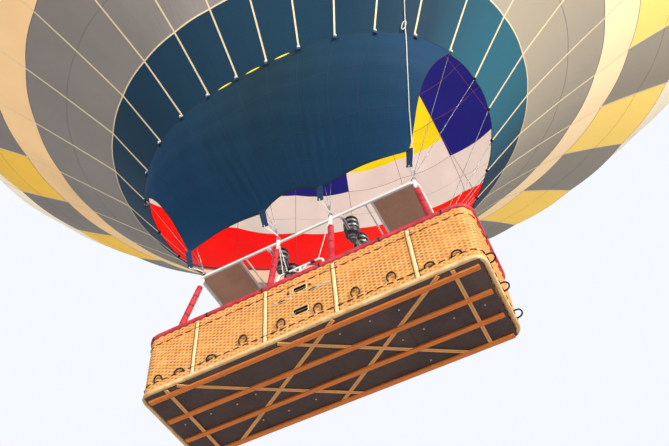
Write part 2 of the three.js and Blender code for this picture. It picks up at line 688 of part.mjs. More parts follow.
const LINK_R = 45
const LINK_TUBE_R = 8
const LINK_SQUEEZE = 0.6        // width of a karabiner as a share of its height
const CABLE_R = 6
const STAY_END_GAP = 1          // below the mouth's edge, which leans
const OUTER_TAPES = 4           // tapes on each side of the long axis that reach an end socket

const tapeEnd = (gore) => {
  const angle = gore * TURN / GORES
  const width = halfWidthAt(MOUTH_Z)
  return shaped(width * Math.cos(angle), width * Math.sin(angle), MOUTH_Z)
}

const linkCentreZ = FRAME_Z + LUG_HALF_HEIGHT + GAP + LINK_R + LINK_TUBE_R

const socketOf = (gore) => {
  const end = tapeEnd(gore)
  const fromAxis = Math.min(gore % (GORES / 2), GORES / 2 - gore % (GORES / 2))
  const outer = fromAxis <= OUTER_TAPES
  const sideX = end.x < 0 ? 'left' : 'right'
  const sideY = gore === 0 || (end.y > 0 && gore !== GORES / 2) ? 'far' : 'near'
  return `${sideY}_${sideX}_${outer ? 'end' : 'middle'}`
}

function buildStays () {
  for (const [place, x, y] of SOCKETS) {
    const link = new THREE.TorusGeometry(LINK_R, LINK_TUBE_R, 4, 12)
    link.rotateX(Math.PI / 2).scale(LINK_SQUEEZE, 1, 1).translate(x, y, linkCentreZ)
    const pieces = [link]
    const start = vec(x, y, linkCentreZ + LINK_R)
    for (let gore = 0; gore < GORES; gore++) {
      if (socketOf(gore) !== place) continue
      const end = tapeEnd(gore)
      const along = end.clone().sub(start).normalize()
      const highSide = vec(0, 0, 1).addScaledVector(along, -along.z).normalize()
      end.z -= STAY_END_GAP
      pieces.push(rod(start, end.addScaledVector(highSide, -CABLE_R), CABLE_R, 8))
    }
    addPiece(`stay_${place}`, geometryOf(joined(pieces)), CABLE)
  }
}

// Scoop: one sheet from the near half of the mouth down to the near karabiners

const SCOOP_FIRST = 17          // tape where it starts, counted round from +X
const SCOOP_LAST = 28
const SCOOP_OUT = 42            // how far outside the tape ends it is hung
const SCOOP_DROP = 26
const SCOOP_BILLOW = 320
const SCOOP_SCALLOPS = [0.025, 0.05, 0.03]  // rise of its foot between the straps, as a share
const SCOOP_HOLLOW = 0.15       // how far its sides curve in, as a share of its width
const SCOOP_HOLLOW_POWER = 0.7  // below 1 the sides curve in sooner at the head
const SCOOP_ROWS = 4
const STRAP_WIDTH = 100
const STRAP_THICK = 10
const TAB_HALF_X = 38           // flat tab in front of the karabiner's lower half
const TAB_THICK = 12
const TAB_BELOW = 24
const TAB_ABOVE = 6

const SCOOP_TABS = [
  // share round the sheet, x and y of the karabiner, then the sheet's foot there
  [0, -OUTER_LUG_X, -OUTER_LUG_Y, vec(-1940, -830, 2830)],
  [8 / 22, -INNER_LUG_X, -FRAME_HALF_Y, vec(-520, -920, 2820)],
  [14 / 22, INNER_LUG_X, -FRAME_HALF_Y, vec(460, -890, 2780)],
  [1, OUTER_LUG_X, -OUTER_LUG_Y, vec(1915, -840, 2810)]
]

const scoopPoint = (u, v) => {
  const slid = 0.5 + (u - 0.5) * (1 - SCOOP_HOLLOW * Math.sin(Math.PI * v ** SCOOP_HOLLOW_POWER))
  const angle = (SCOOP_FIRST + (SCOOP_LAST - SCOOP_FIRST) * slid) * TURN / GORES
  const width = halfWidthAt(MOUTH_Z)
  const level = vec(Math.cos(angle), Math.sin(angle), 0)
  const head = shaped(width * level.x, width * level.y, MOUTH_Z, 0).addScaledVector(level, SCOOP_OUT)
  head.z -= SCOOP_DROP
  const next = Math.max(1, SCOOP_TABS.findIndex(([share]) => share >= slid - 1e-9))
  const [lowShare, , , lowFoot] = SCOOP_TABS[next - 1]
  const [highShare, , , highFoot] = SCOOP_TABS[next]
  const along = THREE.MathUtils.clamp((slid - lowShare) / (highShare - lowShare), 0, 1)
  const foot = lowFoot.clone().lerp(highFoot, along)
  const reach = v * (1 - SCOOP_SCALLOPS[next - 1] * Math.sin(Math.PI * along))
  const billow = SCOOP_BILLOW * Math.sin(Math.PI * Math.min(1, reach))
  return head.lerp(foot, reach).addScaledVector(level, billow)
}

// Flat strap between two points, its width along X
const strapBetween = (start, end) => {
  const strap = new THREE.BoxGeometry(STRAP_WIDTH, STRAP_THICK, start.distanceTo(end))
  const along = end.clone().sub(start).normalize()
  const side = vec(1, 0, 0).addScaledVector(along, -along.x).normalize()
  const out = along.clone().cross(side)
  const turn = new THREE.Matrix4().makeBasis(side, out, along)
  return strap.applyMatrix4(turn.setPosition(start.clone().lerp(end, 0.5)))
}

function buildScoop () {
  const columns = 2 * (SCOOP_LAST - SCOOP_FIRST)
  const sheet = new THREE.BoxGeometry(1, 1, 1, columns, SCOOP_ROWS, 1)
  const places = sheet.attributes.position
  const step = 0.01
  for (let i = 0; i < places.count; i++) {
    const u = places.getX(i) + 0.5
    const v = 0.5 - places.getY(i)
    const across = scoopPoint(Math.min(1, u + step), v).sub(scoopPoint(Math.max(0, u - step), v))
    const down = scoopPoint(u, Math.min(1, v + step)).sub(scoopPoint(u, Math.max(0, v - step)))
    const normal = across.cross(down).normalize()
    const place = scoopPoint(u, v).addScaledVector(normal, -places.getZ(i) * SHELL)
    places.setXYZ(i, place.x, place.y, place.z)
  }
  const pieces = [sheet]
  for (const [share, x, y] of SCOOP_TABS) {
    const face = y - LINK_TUBE_R - GAP
    const low = vec(x - TAB_HALF_X, face - TAB_THICK, linkCentreZ - TAB_BELOW)
    pieces.push(boxBetween(low, vec(x + TAB_HALF_X, face, linkCentreZ + TAB_ABOVE)))
    const start = vec(x, face - TAB_THICK, linkCentreZ - (TAB_BELOW - TAB_ABOVE) / 2)
    pieces.push(strapBetween(start, scoopPoint(share, 1)))
  }
  addPiece('scoop', geometryOf(joined(pieces)), NAVY)
}

buildBasket()
buildTanks()
buildPilotRail()
buildFrame()
buildPoles()
buildBurners()
buildStays()
buildScoop()
buildEnvelope()
buildCrown()

export default craft
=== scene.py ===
"""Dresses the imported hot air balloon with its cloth, wicker, padding, metal, rigging, light and camera.

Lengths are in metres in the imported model's frame, whose origin is the middle of the envelope's widest
circle. A height called `up` is above the underside of the basket's runners, where the real craft would
be measured from, and `placed` lowers finished points into the frame.
"""

import logging
import math
from dataclasses import dataclass
from enum import Enum
from typing import Callable, Sequence

import bpy
import numpy as np
from mathutils import Matrix, Vector

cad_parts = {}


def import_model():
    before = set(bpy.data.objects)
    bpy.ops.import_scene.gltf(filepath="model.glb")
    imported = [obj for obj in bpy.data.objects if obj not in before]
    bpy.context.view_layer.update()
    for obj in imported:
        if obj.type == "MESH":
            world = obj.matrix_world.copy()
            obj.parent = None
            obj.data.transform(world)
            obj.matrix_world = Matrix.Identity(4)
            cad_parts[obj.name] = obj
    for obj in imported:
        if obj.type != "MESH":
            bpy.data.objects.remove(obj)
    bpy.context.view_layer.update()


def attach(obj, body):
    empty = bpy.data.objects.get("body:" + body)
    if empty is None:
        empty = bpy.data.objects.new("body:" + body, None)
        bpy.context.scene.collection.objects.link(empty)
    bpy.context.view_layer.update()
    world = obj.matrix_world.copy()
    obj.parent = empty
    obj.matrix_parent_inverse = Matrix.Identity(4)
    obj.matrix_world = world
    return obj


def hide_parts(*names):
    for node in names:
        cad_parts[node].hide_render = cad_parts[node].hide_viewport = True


Array = np.ndarray
Tint = tuple[float, float, float, float]
Pair = tuple[float, float]
Triple = tuple[float, float, float]
Socket = bpy.types.NodeSocket
Sockets = bpy.types.bpy_prop_collection

log = logging.getLogger("balloon")

EQUATOR_UP = 23.9
TURN = 2 * math.pi
GORES = 30
UPWARD = np.array([0.0, 0.0, 1.0])
SIDES = ((-1, "left"), (1, "right"))
ROWS = ((-1, "near"), (1, "far"))
QUARTERS = tuple((x, y, f"{row}_{side}") for x, side in SIDES for y, row in ROWS)

# Heights and places that more than one assembly shares, by height above the runners
FRAME_UP = 2.39
LINK_UP = 2.5033
RIM_HEAD_UP = 1.1436
BURNER_X = 0.62
OUTER_SOCKET = (1.81485, 0.53485)
INNER_SOCKET = (0.45, 0.57)
RIM_SIDE = 0.7175


# Numbers and points


def tint(code: str) -> Tint:
    """Turns a screen colour into the linear one that shaders use.

    Args:
        code: Red, green and blue as six hexadecimal digits after a #.

    Returns:
        Linear red, green, blue and an alpha of 1.
    """
    screen = np.array([int(code[i:i + 2], 16) for i in (1, 3, 5)]) / 255
    linear = np.where(screen <= 0.04045, screen / 12.92, ((screen + 0.055) / 1.055) ** 2.4)
    return (*(float(value) for value in linear), 1.0)


def unit(vectors: Array) -> Array:
    """Scales vectors along the last axis to a length of one."""
    return vectors / np.maximum(np.linalg.norm(vectors, axis=-1, keepdims=True), 1e-12)


def stacked(*columns: Array | float) -> Array:
    """Makes points from x, y and z arrays of shapes that broadcast together."""
    return np.stack(np.broadcast_arrays(*columns), axis=-1).astype(float)


def placed(points: Array) -> Array:
    """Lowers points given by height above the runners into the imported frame."""
    return points - EQUATOR_UP * UPWARD


def noise_wave(place: Array, seed: float) -> Array:
    """Smooth uneven values from -1 to 1: the mean of three sine waves whose lengths don't divide."""
    return (np.sin(place + seed) + np.sin(1.93 * place + 2.1 * seed) + np.sin(3.71 * place + 0.7 * seed)) / 3


# Surfaces: points and faces as arrays, before they go into Blender


@dataclass
class Surface:
    """Points and faces of a mesh.

    Faces are arrays of corner numbers, one array for each count of corners, with a UV pair for each
    corner, in metres along the surface, and a finish number for each face.
    """

    points: Array
    faces: list[Array]
    uvs: list[Array]
    finishes: list[Array]
    marks: Array | None = None

    def volume(self) -> float:
        """Volume inside the faces: the sum of the cones from the origin to each fan of triangles."""
        total = 0.0
        for face in self.faces:
            first = self.points[face[:, 0]]
            for i in range(1, face.shape[1] - 1):
                cross = np.cross(self.points[face[:, i]], self.points[face[:, i + 1]])
                total += float((first * cross).sum()) / 6
        return total

    def outward(self) -> "Surface":
        """Turns all faces round if they point inwards."""
        if self.volume() < 0:
            self.faces = [face[:, ::-1] for face in self.faces]
            self.uvs = [uv[:, ::-1] for uv in self.uvs]
        return self

    def finished(self, number: int) -> "Surface":
        """Gives every face the same finish number."""
        self.finishes = [np.full(len(face), number) for face in self.faces]
        return self

    def add(self, faces: Array, finish: int = 0) -> None:
        """Adds faces with one finish number and nothing in the UV map."""
        self.faces.append(faces)
        self.uvs.append(np.zeros((*faces.shape, 2)))
        self.finishes.append(np.full(len(faces), finish))


def joined(surfaces: Sequence[Surface]) -> Surface:
    """Puts surfaces into one, keeping their UVs, finishes and marks."""
    points, faces, uvs, finishes, marks, start = [], [], [], [], [], 0
    for surface in surfaces:
        points.append(surface.points)
        faces += [face + start for face in surface.faces]
        uvs += surface.uvs
        finishes += surface.finishes
        marks.append(np.zeros(len(surface.points)) if surface.marks is None else surface.marks)
        start += len(surface.points)
    return Surface(np.concatenate(points), faces, uvs, finishes, np.concatenate(marks))


def grid(
    points: Array,
    wrap_rows: bool = False,
    wrap_columns: bool = False,
    uv: Array | None = None,
    finish: Array | int = 0,
    marks: Array | None = None,
) -> Surface:
    """Makes four-cornered faces between the neighbours of a grid of points.

    Args:
        points: Rows by columns by 3.
        wrap_rows: Whether the last row joins the first.
        wrap_columns: Whether the last column joins the first.
        uv: UV pairs at each grid line, one line more where the grid wraps. Line numbers if left out.
        finish: A finish number, or one for each row or each cell.
        marks: A value from 0 to 1 for each point.

    Returns:
        The surface.
    """
    rows, columns = points.shape[:2]
    row, column = np.meshgrid(
        np.arange(rows if wrap_rows else rows - 1),
        np.arange(columns if wrap_columns else columns - 1),
        indexing="ij",
    )
    corners = [(row, column), (row, column + 1), (row + 1, column + 1), (row + 1, column)]
    faces = np.stack([(a % rows) * columns + b % columns for a, b in corners], axis=-1)
    if uv is None:
        uv = stacked(np.arange(columns + 1.0)[None, :], np.arange(rows + 1.0)[:, None], 0)[..., :2]
    uvs = np.stack([uv[a, b] for a, b in corners], axis=-2)
    number = np.asarray(finish)
    if number.ndim == 1:
        number = number[:, None]
    number = np.broadcast_to(number, row.shape)
    return Surface(
        points.reshape(-1, 3),
        [faces.reshape(-1, 4)],
        [uvs.reshape(-1, 4, 2)],
        [number.reshape(-1)],
        None if marks is None else marks.reshape(-1),
    )


def lines_along(points: Array, axis: int, wrap: bool) -> Array:
    """Distance walked along one axis of a grid, as an average over the other axis, starting at 0."""
    ends = np.concatenate([points, points.take([0], axis=axis)], axis=axis) if wrap else points
    steps = np.linalg.norm(np.diff(ends, axis=axis), axis=-1).mean(axis=1 - axis)
    return np.concatenate([[0.0], np.cumsum(steps)])


def metre_uv(points: Array, wrap_rows: bool, wrap_columns: bool) -> Array:
    """UV pairs for a grid: metres along its rows, and metres from row to row."""
    across = lines_along(points, 1, wrap_columns)
    down = lines_along(points, 0, wrap_rows)
    return stacked(across[None, :], down[:, None], 0)[..., :2]


def closed_shell(outer: Array, inner: Array, wrap_columns: bool = False, finish: Array | int = 0,
                 inner_finish: Array | int | None = None,
                 marks: tuple[Array, Array] | None = None) -> Surface:
    """Closes the room between an outer and an inner grid of the same shape with strips at the edges.

    Args:
        outer: Rows by columns by 3.
        inner: The same grid on the other side of the cloth or board.
        wrap_columns: Whether the last column joins the first, as on a ring.
        finish: Finish of the outer faces, one number or one for each cell.
        inner_finish: Finish of the inner faces, as the outer ones if left out.
        marks: Values for the outer and the inner points.

    Returns:
        One closed surface with its faces pointing out.
    """
    rows, columns = outer.shape[:2]
    cells = (rows - 1, columns if wrap_columns else columns - 1)
    front = np.broadcast_to(np.asarray(finish), cells)
    back = front if inner_finish is None else np.broadcast_to(np.asarray(inner_finish), cells)
    both = np.concatenate([outer, inner[::-1]])
    numbers = np.concatenate([front, front[-1:], back[::-1], front[:1]])
    values = None if marks is None else np.concatenate([marks[0], marks[1][::-1]])
    sheet = grid(both, True, wrap_columns, metre_uv(both, True, wrap_columns), numbers, values)
    if not wrap_columns:
        number = np.arange(2 * rows * columns).reshape(2 * rows, columns)
        top, under = number[:rows], number[::-1][:rows]
        for end, turn in ((0, 1), (columns - 1, -1)):
            strip = np.stack([top[:-1, end], top[1:, end], under[1:, end], under[:-1, end]], axis=-1)
            sheet.add(strip[:, ::turn], front.flat[0])
    return sheet.outward()


def looped(points: Array) -> Surface:
    """A grid whose last row joins its first and whose last column joins its first."""
    return grid(points, True, True, metre_uv(points, True, True)).outward()


def capped(points: Array) -> Surface:
    """A ring of corners carried from row to row, closed with a flat face at each end."""
    sides = points.shape[1]
    surface = grid(points, False, True, metre_uv(points, False, True))
    surface.add(np.arange(sides)[None, ::-1])
    surface.add(np.arange(sides)[None] + (len(points) - 1) * sides)
    return surface.outward()


def strap(path: Array, across: Array, thick: Array) -> Surface:
    """A flat bar along a path, half its width in `across` to each side and `thick` to one side of it."""
    corners = [path - across, path + across, path + across + thick, path - across + thick]
    return capped(np.stack(corners, axis=1))


def polar(rings: Array, foot: Array, head: Array) -> Surface:
    """Closes a stack of rings with a fan of triangles to a point at each end."""
    sides = rings.shape[1]
    body = grid(rings, False, True, metre_uv(rings, False, True))
    count, last = len(body.points), (len(rings) - 1) * sides
    here = np.arange(sides)
    there = (here + 1) % sides
    low = np.stack([there, here, np.full(sides, count)], axis=-1)
    high = np.stack([last + here, last + there, np.full(sides, count + 1)], axis=-1)
    body.points = np.concatenate([body.points, foot.reshape(1, 3), head.reshape(1, 3)])
    body.add(np.concatenate([low, high]))
    return body.outward()


def circle(first: Array, second: Array, sides: int) -> Array:
    """Points of a circle on two axes: the first times the cosine of a turn, the second times its sine."""
    turn = (np.arange(sides) * TURN / sides)[:, None]
    return np.cos(turn) * first[..., None, :] + np.sin(turn) * second[..., None, :]


def tube(path: Array, radius: float | Array, sides: int = 8, up: Sequence[float] = (0, 0, 1),
         closed: bool = False) -> Surface:
    """Carries a circle along a path.

    The circle at each point lies across the path's direction there. Its first axis is `up` with the
    part along the path taken away, and its second is at right angles to both.

    Args:
        path: Points by 3.
        radius: One radius, or one for each point.
        sides: Sides of the circle.
        up: A direction that the path never follows.
        closed: Whether the path's end joins its start.

    Returns:
        A closed surface, with flat caps on an open path.
    """
    if closed:
        ahead = unit(np.roll(path, -1, axis=0) - np.roll(path, 1, axis=0))
    else:
        ahead = unit(np.gradient(path, axis=0))
    guide = np.asarray(up, float)
    first = unit(guide - (ahead @ guide)[:, None] * ahead)
    size = np.broadcast_to(np.asarray(radius, float), len(path))[:, None, None]
    points = path[:, None] + size * circle(first, np.cross(ahead, first), sides)
    return looped(points) if closed else capped(points)


def rods(starts: Array, ends: Array, radius: float, sides: int = 8) -> Surface:
    """Makes straight round rods, one or many at once.

    Each rod's two rings lie across its direction, on axes made from the world axis that it follows least.

    Args:
        starts: One point, or rods by 3.
        ends: The same.
        radius: Radius of each rod.
        sides: Sides of each rod.

    Returns:
        The rods, with flat caps.
    """
    starts, ends = np.atleast_2d(starts).astype(float), np.atleast_2d(ends).astype(float)
    ahead = unit(ends - starts)
    first = unit(np.cross(ahead, np.eye(3)[np.abs(ahead).argmin(axis=1)]))
    ring = radius * circle(first, np.cross(ahead, first), sides)
    points = np.stack([starts[:, None] + ring, ends[:, None] + ring], axis=1)
    base = (np.arange(len(starts)) * 2 * sides)[:, None, None]
    low = np.arange(sides)[None, :, None]
    high = (low + 1) % sides
    walls = (base + np.concatenate([low, high, sides + high, sides + low], axis=-1)).reshape(-1, 4)
    around = radius * TURN * np.arange(sides + 1) / sides
    u = np.stack([around[:-1], around[1:], around[1:], around[:-1]], axis=-1)
    v = np.linalg.norm(ends - starts, axis=1)[:, None, None] * np.array([0.0, 0.0, 1.0, 1.0])
    uvs = np.stack(np.broadcast_arrays(u[None], v), axis=-1).reshape(-1, 4, 2)
    surface = Surface(points.reshape(-1, 3), [walls], [uvs], [np.zeros(len(walls), int)])
    feet = base[:, :, 0] + np.arange(sides)[None, ::-1]
    heads = base[:, :, 0] + sides + np.arange(sides)[None]
    surface.add(np.concatenate([feet, heads]))
    return surface.outward()


def revolved(profile: Sequence[Pair] | Array, sides: int = 24, centre: Sequence[float] = (0, 0, 0),
             axis: Sequence[float] = (0, 0, 1)) -> Surface:
    """Turns a profile round an axis. Its ends lie on the axis and become single points.

    Args:
        profile: Pairs of distance from the axis and height along it.
        sides: Steps round the axis.
        centre: Where height 0 is.
        axis: Direction of the axis.

    Returns:
        The closed turned shape.
    """
    line = unit(np.asarray(axis, float))
    first = unit(np.cross(line, np.eye(3)[np.abs(line).argmin()]))
    reach, height = np.asarray(profile, float).T[:, :, None, None]
    rings = np.asarray(centre, float) + height * line + reach * circle(first, np.cross(line, first), sides)
    return polar(rings[1:-1], rings[0, 0], rings[-1, 0])


def ball(centre: Sequence[float], radius: float, sides: int = 10, squash: float = 1.0) -> Surface:
    """A small ball: half a circle turned round, with its height scaled by `squash`."""
    turn = np.linspace(-math.pi / 2, math.pi / 2, sides // 2 + 2)
    return revolved(np.stack([radius * np.cos(turn), radius * squash * np.sin(turn)], axis=-1), sides, centre)


def turned_ring(section: Sequence[Pair] | Array, sides: int, centre: Sequence[float]) -> Surface:
    """Turns a closed section of distances and heights once round an upright axis."""
    section = np.asarray(section, float)
    turn = (np.arange(sides) * TURN / sides)[:, None]
    points = stacked(section[:, 0] * np.cos(turn), section[:, 0] * np.sin(turn), section[:, 1])
    return looped(points + np.array(centre))


def slab(low: Sequence[float], high: Sequence[float], bevel: float) -> Surface:
    """A box between two corners, with every edge of it cut by `bevel`."""
    (x0, y0, z0), (x1, y1, z1) = low, high
    rings = []
    for z, step in ((z0, bevel), (z0 + bevel, 0.0), (z1 - bevel, 0.0), (z1, bevel)):
        a0, a1, b0, b1 = x0 + step, x1 - step, y0 + step, y1 - step
        rings.append([
            (a0 + bevel, b0, z), (a1 - bevel, b0, z), (a1, b0 + bevel, z), (a1, b1 - bevel, z),
            (a1 - bevel, b1, z), (a0 + bevel, b1, z), (a0, b1 - bevel, z), (a0, b0 + bevel, z),
        ])
    return capped(np.array(rings))


@dataclass(frozen=True)
class PlanLine:
    """A rounded rectangle seen from above, walked counter-clockwise from the right side's near corner.

    The line is the path of a corner circle's middle plus the radius along an outward direction. On a
    straight side the middle moves, and round a corner the direction turns, so that both are plain
    functions of the distance walked. With a lean, the line steps out by that share of its height above
    `level`.
    """

    half_x: float
    half_y: float
    corner: float
    lean: float = 0.0
    level: float = 0.0

    def breaks(self) -> tuple[Array, Array, Array, Array]:
        """Distances at which sides and corners start, with the circle's middle and direction there."""
        x, y, arc = self.half_x - self.corner, self.half_y - self.corner, self.corner * math.pi / 2
        steps = [0, 2 * y, arc, 2 * x, arc, 2 * y, arc, 2 * x, arc]
        middle_x = [x, x, x, -x, -x, -x, -x, x, x]
        middle_y = [-y, y, y, y, y, -y, -y, -y, -y]
        angle = [0, 0, 1, 1, 2, 2, 3, 3, 4]
        return np.cumsum(steps), np.array(middle_x), np.array(middle_y), np.array(angle) * math.pi / 2

    def length(self) -> float:
        """The whole way round."""
        return float(self.breaks()[0][-1])

    def near(self, x: float) -> float:
        """Distance of a point of the near side's straight stretch."""
        return float(self.breaks()[0][6]) + x + self.half_x - self.corner

    def far(self, x: float) -> float:
        """Distance of a point of the far side's straight stretch."""
        return float(self.breaks()[0][2]) + self.half_x - self.corner - x

    def right(self, y: float) -> float:
        """Distance of a point of the right side's straight stretch."""
        return y + self.half_y - self.corner

    def left(self, y: float) -> float:
        """Distance of a point of the left side's straight stretch."""
        return float(self.breaks()[0][4]) + self.half_y - self.corner - y

    def place(self, distance: Array | float, out: Array | float = 0.0, up: Array | float = 0.0) -> Array:
        """Points at distances round the line, a height `up` and a step `out` along the outward direction."""
        walked, middle_x, middle_y, angles = self.breaks()
        at = np.mod(distance, walked[-1])
        angle = np.interp(at, walked, angles)
        reach = self.corner + np.asarray(out) + self.lean * (np.asarray(up) - self.level)
        x = np.interp(at, walked, middle_x) + reach * np.cos(angle)
        y = np.interp(at, walked, middle_y) + reach * np.sin(angle)
        return stacked(x, y, up)

    def stations(self, spacing: float, corner_steps: int) -> Array:
        """Distances for a mesh, `spacing` apart on the sides and `corner_steps` to each corner."""
        walked = self.breaks()[0]
        runs = []
        for i in range(len(walked) - 1):
            span = walked[i + 1] - walked[i]
            count = max(1, round(span / spacing)) if i % 2 == 0 else corner_steps
            runs.append(np.linspace(walked[i], walked[i + 1], count, endpoint=False))
        return np.concatenate(runs)


def rounded_section(width: float, height: float, round_by: float, steps: int,
                    middle: Pair = (0.0, 0.0)) -> Array:
    """Section of a bar with rounded edges, as pairs of outward step and height, from a small plan line."""
    line = PlanLine(width / 2, height / 2, round_by)
    around = line.stations(max(width, height), steps)
    return line.place(around)[:, :2] + np.array(middle)


# Shader wiring


class Wiring:
    """Adds nodes to one tree and joins them."""

    def __init__(self, tree: bpy.types.NodeTree) -> None:
        """Keeps the tree that nodes are added to."""
        self.tree = tree

    def node(self, kind: str, sockets: dict | None = None, **settings: object) -> bpy.types.Node:
        """Adds a node.

        Args:
            kind: The node's type, without its ShaderNode prefix unless it is a group's end.
            sockets: Inputs by name or number, each a value or an output to join it to.
            settings: The node's own options.

        Returns:
            The node.
        """
        prefix = "" if kind.startswith("NodeGroup") else "ShaderNode"
        made = self.tree.nodes.new(prefix + kind)
        for name, value in settings.items():
            setattr(made, name, value)
        for name, value in (sockets or {}).items():
            self.feed(made.inputs[name], value)
        return made

    def feed(self, socket: bpy.types.NodeSocket, value: object) -> None:
        """Joins an output to an input, or sets the input's own value."""
        if isinstance(value, bpy.types.NodeSocket):
            self.tree.links.new(value, socket)
        else:
            socket.default_value = value

    def math(self, operation: str, first: object, second: object = 0.0, clamp: bool = False) -> Socket:
        """A Math node's result."""
        return self.node("Math", {0: first, 1: second}, operation=operation, use_clamp=clamp).outputs[0]

    def plus(self, first: object, second: object) -> Socket:
        """The sum of two values."""
        return self.math("ADD", first, second)

    def times(self, first: object, second: object, clamp: bool = False) -> Socket:
        """The product of two values."""
        return self.math("MULTIPLY", first, second, clamp)

    def weighted(self, *pairs: tuple[object, object]) -> Socket:
        """The sum of values, each times its weight."""
        total = self.times(*pairs[0])
        for pair in pairs[1:]:
            total = self.plus(total, self.times(*pair))
        return total

    def mix(self, share: object, first: object, second: object) -> Socket:
        """Two colours mixed by a share."""
        return self.node("Mix", {0: share, 6: first, 7: second}, data_type="RGBA").outputs[2]

    def span(self, value: object, low: float, high: float, to_low: float = 0.0,
             to_high: float = 1.0) -> Socket:
        """A value carried from one range to another and kept inside it."""
        sockets = {"Value": value, "From Min": low, "From Max": high, "To Min": to_low, "To Max": to_high}
        return self.node("MapRange", sockets).outputs["Result"]

    def noise(self, place: object, scale: float, detail: float = 3.0, rough: float = 0.5,
              twist: float = 0.0) -> Socket:
        """A noise texture's grey value."""
        sockets = {"Vector": place, "Scale": scale, "Detail": detail, "Roughness": rough, "Distortion": twist}
        return self.node("TexNoise", sockets).outputs["Fac"]

    def place(self, kind: str) -> Socket:
        """Where a point lies in metres: `Object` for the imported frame, `UV` for along the piece's surface."""
        return self.node("TexCoord").outputs[kind]

    def stretched(self, place: object, scale: Sequence[float]) -> Socket:
        """A place scaled differently along each axis."""
        return self.node("Mapping", {"Vector": place, "Scale": scale}).outputs["Vector"]

    def split(self, place: object) -> Sockets:
        """The X, Y and Z of a place."""
        return self.node("SeparateXYZ", {"Vector": place}).outputs

    def bump(self, shader: bpy.types.Node, height: object, depth: float, strength: float) -> None:
        """Joins a height to a shader's normal, `depth` metres deep."""
        made = self.node("Bump", {"Height": height, "Distance": depth, "Strength": strength})
        self.feed(shader.inputs["Normal"], made.outputs["Normal"])


Fill = Callable[[Wiring, Sockets, Sockets], None]


@dataclass(frozen=True)
class Effect:
    """A shader node group with named inputs and outputs, built once and shared by the finishes."""

    name: str
    takes: tuple[tuple[str, str, object], ...]
    gives: tuple[tuple[str, str], ...]
    fill: Fill

    def group(self) -> bpy.types.NodeTree:
        """Finds the group, or builds it the first time."""
        known = bpy.data.node_groups.get(self.name)
        if known:
            return known
        tree = bpy.data.node_groups.new(self.name, "ShaderNodeTree")
        for name, kind, value in self.takes:
            made = tree.interface.new_socket(name, in_out="INPUT", socket_type="NodeSocket" + kind)
            if value is not None:
                made.default_value = value
        for name, kind in self.gives:
            tree.interface.new_socket(name, in_out="OUTPUT", socket_type="NodeSocket" + kind)
        wiring = Wiring(tree)
        start, end = wiring.node("NodeGroupInput"), wiring.node("NodeGroupOutput")
        self.fill(wiring, start.outputs, end.inputs)
        return tree

    def put(self, wiring: Wiring, **sockets: object) -> Sockets:
        """Places the group in a material.

        Args:
            wiring: The material's wiring.
            sockets: Inputs by name, with _ for a space.

        Returns:
            The group's outputs.
        """
        made = wiring.node("Group")
        made.node_tree = self.group()
        for name, value in sockets.items():
            wiring.feed(made.inputs[name.replace("_", " ")], value)
        return made.outputs


def fill_cloth_grain(w: Wiring, takes: object, gives: object) -> None:
    """Plain weave with a ripstop square, long soft wrinkles, and the slow change of shade over a panel."""
    place = w.split(takes["Place"])
    turns = [w.times(place[axis], w.math("DIVIDE", TURN, takes["Thread"])) for axis in (0, 1)]
    weave = w.times(*[w.math("SINE", turn) for turn in turns])
    ripstop = [w.math("ABSOLUTE", w.math("COSINE", w.times(turn, 1 / 16))) for turn in turns]
    lines = w.math("MAXIMUM", *[w.math("POWER", wave, 60.0) for wave in ripstop])
    fine = w.weighted((weave, 0.02), (lines, 0.05))
    long = w.noise(w.stretched(takes["Place"], (1.3, 0.35, 1.0)), 1.6, 4.0, 0.55, 0.6)
    small = w.noise(w.stretched(takes["Place"], (5.0, 1.4, 1.0)), 1.5, 2.0, 0.5, 0.4)
    folds = w.weighted((long, takes["Wrinkle"]), (small, 0.12))
    w.feed(gives["Height"], w.plus(folds, fine))
    shade = w.noise(w.stretched(takes["Place"], (0.5, 0.22, 1.0)), 1.0, 4.0, 0.6, 0.3)
    w.feed(gives["Shade"], w.span(shade, 0.25, 0.75))


CLOTH_GRAIN = Effect(
    "cloth_grain",
    (("Place", "Vector", None), ("Thread", "Float", 0.01), ("Wrinkle", "Float", 1.0)),
    (("Height", "Float"), ("Shade", "Float")),
    fill_cloth_grain,
)


def fill_dust(w: Wiring, takes: object, gives: object) -> None:
    """Patches of dirt: two noises, coarse and fine, above a threshold that the amount lowers."""
    coarse = w.noise(takes["Place"], 2.3, 5.0, 0.62, 0.4)
    fine = w.noise(takes["Place"], 17.0, 3.0, 0.6)
    patch = w.weighted((coarse, 0.72), (fine, 0.28))
    mask = w.times(w.span(patch, 0.42, 0.68), takes["Amount"], True)
    w.feed(gives["Color"], w.mix(mask, takes["Color"], takes["Dirt"]))
    w.feed(gives["Mask"], mask)


DUST = Effect(
    "dust",
    (("Place", "Vector", None), ("Color", "Color", None), ("Dirt", "Color", None), ("Amount", "Float", 0.5)),
    (("Color", "Color"), ("Mask", "Float")),
    fill_dust,
)


def fill_edge_wear(w: Wiring, takes: object, gives: object) -> None:
    """Rubbed edges: where the surface is pointed, broken up by a noise."""
    pointed = w.node("NewGeometry").outputs["Pointiness"]
    broken = w.noise(takes["Place"], 30.0, 3.0, 0.6)
    edge = w.span(w.plus(pointed, w.times(broken, 0.06)), 0.56, 0.62)
    mask = w.times(edge, takes["Amount"], True)
    w.feed(gives["Color"], w.mix(mask, takes["Color"], takes["Bare"]))


EDGE_WEAR = Effect(
    "edge_wear",
    (("Place", "Vector", None), ("Color", "Color", None), ("Bare", "Color", None), ("Amount", "Float", 0.6)),
    (("Color", "Color"),),
    fill_edge_wear,
)


